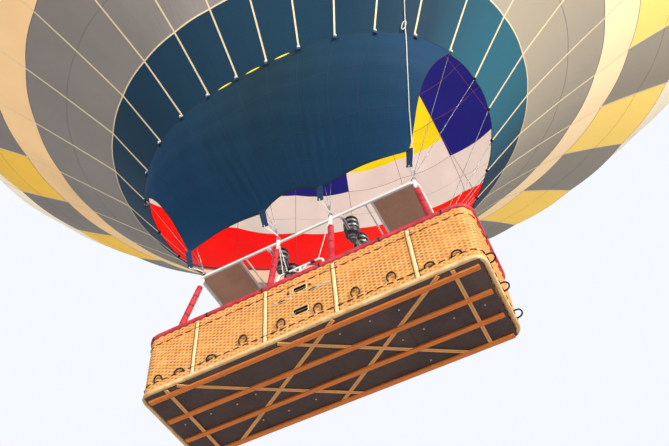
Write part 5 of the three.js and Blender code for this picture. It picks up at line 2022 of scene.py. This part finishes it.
    def build_posts(self) -> None:
        """Builds the rounded upright strakes, with a dark cord down each side as a painted shadow at the post's
        edges.
        """
        poles, cords = [], []
        foot, head = np.linspace(0.062, 0.1, 4), np.linspace(1.01, 1.04, 4)
        up = np.concatenate([foot, np.linspace(0.13, 1.0, 26), head])
        turn = np.linspace(-math.pi / 2, math.pi / 2, 13)
        end = np.clip(np.minimum(up - 0.055, 1.047 - up) / 0.03, 0, 1) ** 0.5
        half = self.post_width / 2
        for middle in [self.line.near(x) for x in self.posts] + [self.line.far(x) for x in self.posts]:
            wobble = 0.002 * noise_wave(up * 7, middle)
            across = middle + half * np.sin(turn)[None, :] * (0.6 + 0.4 * end)[:, None] + wobble[:, None]
            out = -0.006 + 0.019 * (np.cos(turn)[None, :] * end[:, None]) ** 0.8
            face = self.line.place(across, out, up[:, None])
            back = self.line.place(across, np.full_like(out, -0.012), up[:, None])
            poles.append(closed_shell(face, back))
            # Painted shadow: a dark cord along each side of the post.
            for side in (-1, 1):
                edge = self.line.place(middle + side * (half + 0.004) + wobble[3:], 0.004, up[3:])
                cords.append(tube(edge, 0.0055, 6, (1, 0, 0)))
        build_piece("posts", poles, [STRAW_POST])
        build_piece("post_shadow_cords", cords, [PAINTED_POST_SHADOW])

    def build_band(self) -> None:
        """Builds the rounded rawhide band round the foot, with the swell of its windings."""
        around = self.line.stations(0.02, 20)
        wind = 1 + 0.02 * np.cos(around * TURN / 0.04) + 0.02 * noise_wave(around * 5, 0.4)
        points = self.swept(around, rounded_section(0.06, 0.066, 0.026, 5), -0.0105, self.band_up, wind)
        build_piece("foot_band", looped(points), [RAWHIDE], ["base_band"])

    # Ropes

    def threaded(self, up: float, shown: float, hidden: float, radius: float) -> Surface:
        """A rope that stands proud of the weave for `shown` metres and dips into it for `hidden`."""
        whole = self.line.length()
        count = round(whole / (shown + hidden))
        pitch = whole / count
        around = np.linspace(0, whole, count * 10, endpoint=False)
        phase = np.mod(around / pitch, 1.0)
        edge = hidden / (shown + hidden) / 2
        proud = np.clip((np.minimum(phase, 1 - phase) - edge) / 0.06 + 0.5, 0, 1)
        out = -0.016 + (0.024 + radius * 0.6) * proud
        sag = up - 0.006 * np.sin(phase * math.pi) ** 2
        return tube(self.line.place(around, out, sag), radius, 7, closed=True)

    def handle(self, distance: float, wide: float, tall: float, out: float) -> Surface:
        """A rope handle on the wall: half a flattened oval that comes back into the weave at both ends."""
        turn = np.linspace(0, math.pi, 18)
        across = distance - wide / 2 * np.cos(turn)
        rise = tall * np.sin(turn) ** 0.5
        lean = -0.012 + (out + 0.012) * np.sin(turn) ** 0.5
        return tube(self.line.place(across, lean, self.rope_up - 0.012 + rise), 0.011, 9, (0.2, 0.3, 0.93))

    def oval(self, distance: float, wide: float, tall: float, radius: float, gap: float) -> Surface:
        """A rope loop on the wall: an oval without the part of its foot within `gap` radians."""
        turn = np.linspace(gap, TURN - gap, 28)
        lean = -0.008 + 0.038 * np.sin(turn / 2) ** 0.5
        across, up = distance + wide / 2 * np.sin(turn), self.rope_up + tall / 2 * (1 - np.cos(turn))
        return tube(self.line.place(across, lean, up), radius, 9, (0.2, 0.3, 0.93))

    def build_ropes(self) -> None:
        """Builds the rope along the foot with its handles, the loops on the ends, and the red stitching."""
        pieces, grips = [self.threaded(self.rope_up, 0.085, 0.05, self.rope)], []
        for place in (self.line.near, self.line.far):
            for x in self.arches:
                pieces.append(self.oval(place(x), *self.arch_size, 0.0095, 0.95))
                grips.append(self.oval(place(x), *self.arch_size, 0.0125, 2.4))
            pieces += [self.handle(place(x), wide, tall, 0.035) for x, wide, tall in self.staples]
        for place in (self.line.right, self.line.left):
            pieces += [self.handle(place(y), 0.14, 0.012, 0.1) for y in (-0.5, 0.0, 0.5)]
        build_piece("rope_handles", pieces, [BLACK_ROPE])
        build_piece("handle_grips", grips, [BLACK_STRAP])
        build_piece("red_stitching", self.threaded(self.stitch_up, 0.11, 0.05, 0.006), [RED_CORD])

    def build_steps(self) -> None:
        """Builds the leather flaps behind the step holes, and the cords and studs between the holes."""
        dark, pale = [], []
        for place in (self.line.near, self.line.far):
            for hole in self.holes:
                span = place(np.linspace(hole.left - 0.04, hole.right + 0.04, 6))
                middle, tall = (hole.low + hole.high) / 2, hole.high - hole.low + 0.06
                dark.append(self.band_along(span, np.full(6, -0.06), middle, tall))
            for left, right, start, stop in ((-0.41, -0.11, -0.31, -0.21), (0.15, 0.46, 0.15, 0.25)):
                for up in (0.69, 0.712):
                    pale.append(self.laid_cord(place(np.linspace(left, right, 16)), up, 0.0045))
                dark.append(self.laid_cord(place(np.linspace(start, stop, 16)), 0.701, 0.013))
            dark += [ball(self.line.place(place(x), 0.004, 0.81), 0.02, 10) for x in (-0.16, 0.16)]
        build_piece("step_straps", dark, [BLACK_STRAP])
        build_piece("step_cords", pale, [PALE_ROPE])

    def laid_cord(self, distances: Array, up: float, radius: float) -> Surface:
        """A cord on the face of the wall whose ends go into the weave."""
        ends = np.abs(np.linspace(-1, 1, len(distances))) > 0.97
        return tube(self.line.place(distances, 0.0105 - 0.02 * ends, up), radius)

    def band_along(self, distances: Array, out: Array, up: float, wide: float) -> Surface:
        """A flat strap along the wall."""
        corners = [(0.002, wide / 2), (0.002, -wide / 2), (-0.006, -wide / 2), (-0.006, wide / 2)]
        lines = [self.line.place(distances, out + step, up + rise) for step, rise in corners]
        return capped(np.stack(lines, axis=1))

    # Floor

    def build_floor(self) -> None:
        """Builds the plywood boards, split across, and the screws under them."""
        half_x, half_y = self.board
        edges = np.linspace(-half_x, half_x, 5)
        boards = [slab((left + 0.001, -half_y, 0.0304), (right - 0.001, half_y, 0.0478), 0.0015)
                  for left, right in zip(edges[:-1], edges[1:])]
        build_piece("floor_planks", boards, [PLYWOOD], ["floor_board"])
        low = np.array([(sign * x, sign * y, 0.0275) for x, y in self.screws for sign in (-1, 1)])
        build_piece("floor_screws", rods(low, low + 0.004 * UPWARD, 0.012), [STEEL])

    def wood_strip(self, start: Pair, end: Pair, low: float, high: float, wide: float,
                   shift: float = 0.0) -> Surface:
        """A flat wooden strip between two floor points, moved sideways by `shift`, its lower edges cut."""
        begin, finish = np.array(start), np.array(end)
        along = unit(finish - begin)
        side = np.array([-along[1], along[0]])
        half = wide / 2
        section = [(-half, high), (half, high), (half, low + 0.003), (half - 0.004, low),
                   (-half + 0.004, low), (-half, low + 0.003)]
        path = np.linspace(begin, finish, 8)
        lines = [stacked(*(path + side * (step + shift)).T, up) for step, up in section]
        return capped(np.stack(lines, axis=1))

    def build_runners(self) -> None:
        """Builds the four runners, and the braces and cross slats, each of which is a pair of strips."""
        half, wide = self.runner_half, self.runner_width
        runners = [self.wood_strip((-half, y), (half, y), 0.0003, 0.0297, wide) for y in self.runners]
        build_piece("runners", runners, [RUNNER_WOOD], ["floor_runners"])
        y, wide, tall = self.slat_y, self.slat_width, self.slat_tall
        slats = [self.wood_strip((near, -y), (far, y), low, low + tall, wide, shift)
                 for shift in (-self.slat_shift, self.slat_shift) for near, far, low in self.slats]
        build_piece("slats", slats, [SLAT_WOOD])


# Frame, burners, poles and tanks


@dataclass
class BurnerFrame:
    """The white tube frame with its cross tubes, sockets, brackets and heat shields."""

    line: PlanLine = PlanLine(1.85, 0.57, 0.12)
    radius: float = 0.022
    cross_radius: float = 0.013
    cross_y: float = 0.568
    weld_y: float = 0.548
    weld_radius: float = 0.0215
    crosses: tuple[float, ...] = (-1.115, -1.025, 1.025, 1.115)
    socket_profile: tuple[Pair, ...] = (
        (0, -0.06), (0.024, -0.06), (0.0265, -0.055), (0.0265, -0.042), (0.025, -0.04), (0.025, 0.04),
        (0.0265, 0.042), (0.0265, 0.052), (0.022, 0.058), (0, 0.0595),
    )
    bracket_steps: tuple[Pair, ...] = ((0.5085, 0.93), (0.511, 1.0), (0.556, 1.0), (0.566, 0.85))
    shield_x: Pair = (1.135, 1.823)
    shield_y: float = 0.543
    fold: float = 0.006
    rivet: float = 0.0065

    def build(self) -> None:
        """Builds the frame and the heat shields."""
        self.build_tubes()
        for side, name in SIDES:
            self.build_shield(side, name)

    def build_tubes(self) -> None:
        """Builds the tubes, welds, sockets with eyes, and the brackets that hold the burner beams."""
        around = self.line.stations(0.1, 10)
        starts = np.array([(x, -self.cross_y, FRAME_UP) for x in self.crosses])
        welds = np.array([(x, sign * self.weld_y, FRAME_UP) for x in self.crosses for sign in (-1, 1)])
        half = np.array([0, 0.006, 0])
        pieces = [
            tube(self.line.place(around, 0.0, FRAME_UP), self.radius, 20, closed=True),
            rods(starts, starts * (1, -1, 1), self.cross_radius, 16),
            rods(welds - half, welds + half, self.weld_radius, 16),
        ]
        for x, y in (OUTER_SOCKET, INNER_SOCKET):
            for sign_x, sign_y, _ in QUARTERS:
                pieces += self.socket(sign_x * x, sign_y * y)
        pieces += [self.bracket(side * BURNER_X, sign) for side, _ in SIDES for sign, _ in ROWS]
        build_piece("frame_tubes", pieces, [WHITE_PAINT], ["burner_frame"])

    def socket(self, x: float, y: float) -> list[Surface]:
        """A turned socket for a pole below and a karabiner above, and the bolt through it."""
        middle = np.array([x, y, FRAME_UP])
        bolt = rods(middle + (-0.034, 0, -0.048), middle + (0.034, 0, -0.048), 0.006, 6)
        return [revolved(self.socket_profile, 24, middle), bolt]

    def bracket(self, x: float, sign: int) -> Surface:
        """The cheek that a burner beam's end turns in: a rounded plate with a raised bearing."""
        face, size = np.array(self.bracket_steps).T
        face = sign * face
        plan = PlanLine(0.032, 0.036, 0.014)
        flat = plan.place(plan.stations(0.05, 4))[None]
        across, rise = flat[..., 0] * size[:, None], flat[..., 1] * size[:, None]
        rings = stacked(x + across, face[:, None], FRAME_UP + rise)
        return polar(rings, np.array([x, face[0], FRAME_UP]), np.array([x, face[-1], FRAME_UP]))

    def build_shield(self, side: int, name: str) -> None:
        """Builds one heat shield: a slightly dented sheet with a white folded edge and rivets."""
        near, far = self.shield_x
        half = self.shield_y
        across, along = side * np.linspace(near, far, 24)[:, None], np.linspace(-half, half, 34)[None, :]
        dent = 0.0012 * noise_wave(9 * across + 5 * along, 0.9)
        dent = dent + 0.0009 * noise_wave(13 * along - 4 * across, 2.2)
        edge = np.minimum(np.minimum(np.abs(across) - near, far - np.abs(across)), half - np.abs(along))
        dent = dent * np.clip(edge / 0.08, 0, 1)
        top, under = [stacked(across, along, FRAME_UP + step + dent) for step in (0.002, -0.0005)]
        plan = PlanLine((far - near) / 2, half, 0.006)
        middle = np.array([side * (near + far) / 2, 0.0, FRAME_UP])
        fold = tube(middle + plan.place(plan.stations(0.1, 3)), self.fold, closed=True)
        spots = middle + np.array([(a, b, -0.0005) for a in (-0.31, 0.31) for b in np.linspace(-0.5, 0.5, 9)])
        rivets = rods(spots - 0.003 * UPWARD, spots + 0.004 * UPWARD, self.rivet)
        build_piece(f"shield_{name}", [closed_shell(top, under), rivets, fold.finished(1)],
                    [SHIELD_STEEL, WHITE_PAINT], [f"heat_shield_{name}"])


@dataclass
class Burners:
    """Two twin burners, each pair on a beam that tilts. Heights and places are from a burner's own middle."""

    y: float = 0.175
    can: float = 0.112
    wall: float = 0.006
    foot: float = -0.17
    coil_out: float = 0.1185
    coil_tube: float = 0.0072
    coil_turns: int = 4
    coil_ups: tuple[Pair, Pair] = ((0.07, 0.13), (0.19, 0.25))
    jets: int = 12
    jet_out: float = 0.07
    slots: int = 10
    slot_half: Triple = (0.006, 0.006, 0.0325)
    slot_up: float = 0.0125
    pipe_turns: Triple = (0.6, 2.2, 4.0)
    pipe_route: tuple[Pair, ...] = ((0.05, -0.1), (0.063, -0.095), (0.065, -0.06), (0.06, -0.034))
    lever_route: tuple[Pair, ...] = ((-0.05, -0.15), (-0.058, -0.164), (-0.035, -0.167), (0.05, -0.167))
    cross_pipe: tuple[Triple, ...] = (
        (0.035, -0.12, -0.1), (0.06, -0.06, -0.11), (0.06, 0.06, -0.11), (0.035, 0.12, -0.1),
    )
    beam: float = 0.024
    beam_end: float = 0.503
    trunnion: float = 0.016
    clamps: Pair = (0.052, 0.298)

    def build(self) -> None:
        """Builds both pairs."""
        for side, name in SIDES:
            for sign, place in ROWS:
                self.build_can(np.array([side * BURNER_X, sign * self.y, FRAME_UP]), name, place)
            self.build_beam(side * BURNER_X, name)

    def coils(self) -> list[Surface]:
        """The two coils round the can and the riser between them."""
        coils = []
        out, wire = self.coil_out, self.coil_tube
        for low, high in self.coil_ups:
            turn = np.linspace(0, TURN * self.coil_turns, self.coil_turns * 20 + 1)
            rise = np.linspace(low + wire, high - wire, len(turn))
            coils.append(tube(stacked(out * np.cos(turn), out * np.sin(turn), rise), wire))
        riser = np.array([[out, 0, 0.122], [0.1215, 0.0, 0.16], [out, 0, 0.198]])
        return [*coils, tube(riser, 0.0068, 8, (0, 1, 0))]

    def spread(self, count: int, reach: float) -> Array:
        """Points set evenly round the burner's axis."""
        return reach * np.array([bearings(number * TURN / count)[0] for number in range(count)])

    def build_can(self, middle: Array, name: str, place: str) -> None:
        """Builds one burner: the open can with its coils, and the valve block under it with its lever."""
        can, inner, foot = self.can, self.can - self.wall, self.foot
        outline = [(0, -0.03), (0.108, -0.03), (can, -0.024), (can, 0.322), (can + 0.004, 0.326),
                   (can + 0.003, 0.33), (can - 0.004, 0.329), (inner, 0.322), (inner, 0.0), (0.05, -0.012),
                   (0, -0.012)]
        block = [(0, foot), (0.05, foot), (0.058, foot + 0.01), (0.058, -0.12), (0.064, -0.112),
                 (0.064, -0.07), (0.05, -0.06), (0.045, -0.0305), (0, -0.0305)]
        jets = self.spread(self.jets, self.jet_out)
        slots = self.spread(self.slots, can * 0.985) + self.slot_up * UPWARD
        black = [revolved(outline, 40), *self.coils()]
        black.append(rods(jets - 0.01 * UPWARD, jets + 0.012 * UPWARD, 0.0055, 6))
        black += [slab(slot - self.slot_half, slot + self.slot_half, 0.002) for slot in slots]
        black.append(revolved(block, 24))
        for turn in self.pipe_turns:
            out, up = np.array(self.pipe_route).T
            path = np.outer(out, bearings(turn)[0]) + np.outer(up, UPWARD)
            black.append(tube(path, 0.006, 8, (0.3, 0.2, 0.9)))
        valve = rods((-0.062, 0, -0.135), (0.062, 0, -0.135), 0.013, 12)
        lever = tube(np.array([(x, 0, up) for x, up in self.lever_route]), 0.005, 8, (0, 1, 0))
        knob = ball((0.052, 0, -0.1565), 0.0105, 12)
        burner = joined([*black, valve.finished(1), lever.finished(2), knob.finished(2)])
        burner.points = burner.points + middle
        build_piece(f"burner_can_{name}_{place}", burner, [BLACK_STEEL, BRASS, RED_ENAMEL],
                    [f"burner_{name}_{place}"], f"{name}_burner")

    def build_beam(self, x: float, name: str) -> None:
        """Builds the beam that a pair stands on: a turned bar with trunnions, clamps and a fuel pipe."""
        end, trunnion = self.beam_end, self.trunnion
        half = [(self.beam, end - 0.003), (0.021, end), (trunnion, end + 0.001), (trunnion, end + 0.026),
                (0.013, end + 0.03), (0, end + 0.03)]
        profile = [(reach, -y) for reach, y in half[::-1]] + half
        middle = np.array([x, 0, FRAME_UP])
        pieces = [revolved(profile, 24, middle, (0, 1, 0))]
        for y in [sign * at for sign in (-1, 1) for at in self.clamps]:
            pieces.append(rods(middle + (0, y - 0.012, 0), middle + (0, y + 0.012, 0), 0.03, 18))
        pieces.append(tube(middle + np.array(self.cross_pipe), 0.007))
        build_piece(f"beam_{name}", pieces, [STEEL], [f"burner_beam_{name}"], f"{name}_burner")


@dataclass
class Poles:
    """Eight padded poles between the basket's rim and the frame's sockets."""

    feet: tuple[Pair, ...] = ((1.93, RIM_SIDE), (0.48, RIM_SIDE))
    heads: tuple[Pair, ...] = (OUTER_SOCKET, INNER_SOCKET)
    names: tuple[str, ...] = ("end", "middle")
    head_up: float = 2.3297
    tube: float = 0.02
    sleeve: float = 0.0455
    foot_gap: float = 0.008
    top_gap: float = 0.15
    lace: float = 0.0035
    straps: tuple[float, ...] = (0.06, 0.27, 0.5, 0.73, 0.94)
    strap_half: float = 0.014

    def build(self) -> None:
        """Builds each pole and its sleeve."""
        for foot, head, name in zip(self.feet, self.heads, self.names):
            for sign_x, sign_y, place in QUARTERS:
                start = np.array([sign_x * foot[0], sign_y * foot[1], RIM_HEAD_UP])
                end = np.array([sign_x * head[0], sign_y * head[1], self.head_up])
                self.build_pole(start, end, f"{place}_{name}")

    def build_pole(self, start: Array, end: Array, place: str) -> None:
        """Builds the tube, and over it a stuffed sleeve drawn in under each strap and at both ends."""
        along = unit(end - start)
        foot = start + along * self.foot_gap
        long = float(np.linalg.norm(end - start)) - self.top_gap - self.foot_gap
        share = np.linspace(0, 1, 70)
        pinch = np.exp(-((share[:, None] - np.array(self.straps)[None, :]) / 0.014) ** 2).max(axis=1)
        close = np.clip(np.minimum(share, 1 - share) / 0.02, 0, 1) ** 0.5
        soft = 1 - 0.12 * pinch + 0.012 * noise_wave(share * 26, start[0])
        radius = (0.5 + 0.5 * close) * self.sleeve * soft
        path = foot + along * share[:, None] * long
        sleeve = tube(path, np.minimum(radius, self.sleeve), 20, (0, 1, 0))
        inward = np.array([0, math.copysign(1, -start[1]), 0])
        middles = foot + along * np.array(self.straps)[:, None] * long
        half = along * self.strap_half
        bands = rods(middles - half, middles + half, self.sleeve * 0.92, 20)
        seam = tube(path + inward * (radius[:, None] - 0.001), self.lace, 6, (1, 0, 0))
        rod = rods(start + along * 0.004, end, self.tube, 16)
        build_piece(f"pole_tube_{place}", rod, [WHITE_PAINT], [f"pole_{place}"])
        pad = build_piece(f"pole_sleeve_{place}", sleeve, [RED_PAD], [f"pole_{place}"])
        build_piece(f"pole_straps_{place}", [bands, seam], [BLACK_STRAP])


@dataclass
class Tanks:
    """Four fuel cylinders that stand in the pilot's bay."""

    place: Pair = (0.336, 0.54)
    radius: float = 0.15
    foot: float = 0.0483
    tall: float = 0.93
    straps: Pair = (0.24, 0.62)
    strap_width: float = 0.04

    def build(self) -> None:
        """Builds each cylinder with its foot ring, collar, valve and two straps."""
        for sign_x, sign_y, place in QUARTERS:
            self.build_tank((sign_x * self.place[0], sign_y * self.place[1], self.foot), place)

    def build_tank(self, foot: Triple, place: str) -> None:
        """Builds one cylinder: a turned body with a weld, a foot ring, a collar, a valve and two straps."""
        r, tall = self.radius, self.tall
        arc = np.linspace(0, math.pi / 2, 7)
        shoulder = [(r - 0.06 + 0.06 * math.cos(a), tall - 0.15 + 0.06 * math.sin(a)) for a in arc]
        base = [(r - 0.03 + 0.03 * math.sin(a), 0.05 - 0.03 * math.cos(a)) for a in arc]
        weld = [(r, 0.44), (r + 0.0008, 0.445), (r + 0.0008, 0.455), (r, 0.46)]
        neck = [(0.03, tall - 0.085), (0.028, tall - 0.075), (0, tall - 0.075)]
        stem = [(0, tall - 0.076), (0.014, tall - 0.076), (0.014, tall - 0.04), (0.02, tall - 0.036),
                (0.02, tall - 0.012), (0, tall - 0.01)]
        pieces = [
            revolved([(0, 0.02), *base, *weld, *shoulder, *neck], 36, foot),
            self.collar(0.105, 0.112, 0.0, 0.03, foot),
            self.collar(0.086, 0.092, tall - 0.098, tall, foot),
            revolved(stem, 12, foot).finished(1),
        ]
        for at in self.straps:
            pieces.append(self.collar(r - 0.001, r + 0.003, at, at + self.strap_width, foot).finished(2))
        build_piece(f"cylinder_{place}", pieces, [CYLINDER, BRASS, BLACK_STRAP],
                    [f"fuel_cylinder_{place}"])

    def collar(self, inner: float, outer: float, low: float, high: float, foot: Triple) -> Surface:
        """A plain ring round a cylinder, between two distances and two heights."""
        return turned_ring([(inner, low), (outer, low), (outer, high), (inner, high)], 36, foot)


@dataclass
class PilotRail:
    """The white tubular rail over the rim in the pilot's bay, with its gussets and rope whipping."""

    half: float = 0.36
    y: float = -RIM_SIDE
    bend_up: float = 1.19
    top: float = 1.33
    corner: float = 0.09
    radius: float = 0.0155
    foot_profile: tuple[Pair, ...] = ((0, 0.001), (0.028, 0.001), (0.03, 0.004), (0.028, 0.008), (0, 0.008))
    gusset: tuple[Pair, ...] = ((0.01, 1.24), (0.06, 1.27), (0.1, 1.318))
    whipping_x: Pair = (-0.2, 0.2)
    whipping_turns: int = 6
    whipping_radius: float = 0.0185

    def build(self) -> None:
        """Builds the bent tube, its feet, a middle post with gussets, and the whipping on its top."""
        foot = RIM_HEAD_UP + 0.003
        left = [(-self.half, foot), (-self.half, self.bend_up)]
        for turn in np.linspace(0, math.pi / 2, 9):
            in_by, down_by = self.corner * (1 - math.cos(turn)), self.corner * (1 - math.sin(turn))
            left.append((-self.half + in_by, self.top - down_by))
        flat = np.array(left + [(-x, up) for x, up in left[::-1]])
        pieces = [tube(stacked(flat[:, 0], self.y, flat[:, 1]), self.radius, 16, (0, 1, 0))]
        pieces += [revolved(self.foot_profile, 18, (x, self.y, RIM_HEAD_UP)) for x in (-self.half, self.half)]
        pieces.append(rods((0.0, self.y, foot), (0.0, self.y, self.top), 0.0125, 14))
        for sign in (-1, 1):
            path = np.array([(sign * x, self.y, up) for x, up in self.gusset])
            pieces.append(tube(path, 0.008, 10, (0, 1, 0)))
        build_piece("rail_tube", pieces, [WHITE_PAINT], ["pilot_rail"])
        steps = np.linspace(0, TURN * self.whipping_turns, 90)
        coil = stacked(steps / TURN * 0.011 - 0.033, self.y + self.whipping_radius * np.cos(steps),
                       self.top + self.whipping_radius * np.sin(steps))
        wraps = [tube(coil + (x, 0, 0), 0.0045, 6, (1, 0, 0.05)) for x in self.whipping_x]
        build_piece("rail_whipping", wraps, [BLACK_ROPE])


# Light, floor and camera


@dataclass(frozen=True)
class Studio:
    """The camera of the photograph, a plain pale floor and soft light.

    The camera's axes point right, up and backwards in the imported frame, and `focal_pixels` is its focal
    length at the photograph's width. The sky lights the scene less than it shows.
    """

    eye: Triple = (2.834, -6.077, -6.627)
    right: Triple = (0.88963, 0.45406, -0.04880)
    above: Triple = (0.40175, -0.72735, 0.55638)
    behind: Triple = (0.21714, -0.51458, -0.82949)
    focal_pixels: float = 723.0
    frame_pixels: float = 669.0
    sensor: float = 36.0
    floor_half: float = 400.0
    floor_drop: float = 0.02
    sky_light: float = 0.67
    sky_seen: float = 1.0

    def build(self) -> None:
        """Sets the camera, the floor, the sky's light and the lamps."""
        bpy.context.scene.view_settings.view_transform = "Standard"
        self.build_camera()
        self.build_floor()
        self.build_light()

    def build_camera(self) -> None:
        """Stands the camera on the floor, looking up, with the photograph's field of view."""
        data = bpy.data.cameras.new("camera")
        data.sensor_width = self.sensor
        data.lens = self.focal_pixels / self.frame_pixels * self.sensor
        data.clip_end = 1000.0
        camera = bpy.data.objects.new("camera", data)
        matrix = np.eye(4)
        matrix[:3, :3] = np.array([self.right, self.above, self.behind]).T
        matrix[:3, 3] = placed(np.array(self.eye))
        camera.matrix_world = Matrix(matrix.tolist())
        bpy.context.collection.objects.link(camera)
        bpy.context.scene.camera = camera

    def build_floor(self) -> None:
        """Lays a plain pale floor at the camera's height."""
        half, up = self.floor_half, self.eye[2] - self.floor_drop - EQUATOR_UP
        mesh = bpy.data.meshes.new("floor")
        mesh.from_pydata([(-half, -half, up), (half, -half, up), (half, half, up), (-half, half, up)], [],
                         [(0, 1, 2, 3)])
        floor = bpy.data.objects.new("floor", mesh)
        mesh.materials.append(Finish("pale_floor", "#e9e8e6", 0.9).material())
        bpy.context.collection.objects.link(floor)

    def build_light(self) -> None:
        """Lights the scene from a pale sky, with two wide suns and one soft lamp inside the envelope."""
        world = bpy.data.worlds.new("studio")
        bpy.context.scene.world = world
        world.use_nodes = True
        wiring = Wiring(world.node_tree)
        background = world.node_tree.nodes["Background"]
        background.inputs["Color"].default_value = (0.92, 0.95, 1.0, 1.0)
        seen = wiring.node("LightPath").outputs["Is Camera Ray"]
        wiring.feed(background.inputs["Strength"], wiring.span(seen, 0.0, 1.0, self.sky_light, self.sky_seen))
        self.lamp("key_lamp", "SUN", (34.0, -18.0, 5.0), (0.0, 0.0, 0.0), 4.1, 0.3, (1.0, 0.95, 0.88))
        self.lamp("fill_lamp", "SUN", (-6.0, -34.0, 5.0), (0.0, 0.0, 0.0), 0.9, 0.35, (0.96, 0.98, 1.0))
        self.lamp("envelope_lamp", "AREA", (0.0, 0.0, 19.0), (0.0, 0.0, 40.0), 800.0, 6.0, (1.0, 0.97, 0.93))

    def lamp(self, name: str, kind: str, place: Sequence[float], target: Sequence[float], power: float,
             width: float, color: Sequence[float]) -> None:
        """Hangs one soft lamp that no camera sees.

        Args:
            name: The lamp's name.
            kind: AREA for a square lamp, SUN for even light from one side.
            place: Where it hangs, by height above the runners.
            target: What it faces.
            power: Its watts, or a sun's watts per square metre.
            width: Its side in metres, or a sun's angle in radians.
            color: Its colour.
        """
        data = bpy.data.lights.new(name, kind)
        data.energy, data.color = power, color
        setattr(data, "angle" if kind == "SUN" else "size", width)
        lamp = bpy.data.objects.new(name, data)
        here, there = Vector(placed(np.array(place))), Vector(placed(np.array(target)))
        turned = (there - here).to_track_quat("-Z", "Y").to_matrix().to_4x4()
        lamp.matrix_world = Matrix.Translation(here) @ turned
        lamp.visible_camera = False
        bpy.context.collection.objects.link(lamp)


def main() -> None:
    """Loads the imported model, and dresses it."""
    logging.basicConfig(level=logging.INFO, format="%(message)s")
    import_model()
    Studio().build()
    for assembly in (Envelope, Crown, Scoop, Rigging, Basket, BurnerFrame, Burners, Poles, Tanks, PilotRail):
        assembly().build()
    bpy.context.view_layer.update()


if __name__ == "__main__":
    main()
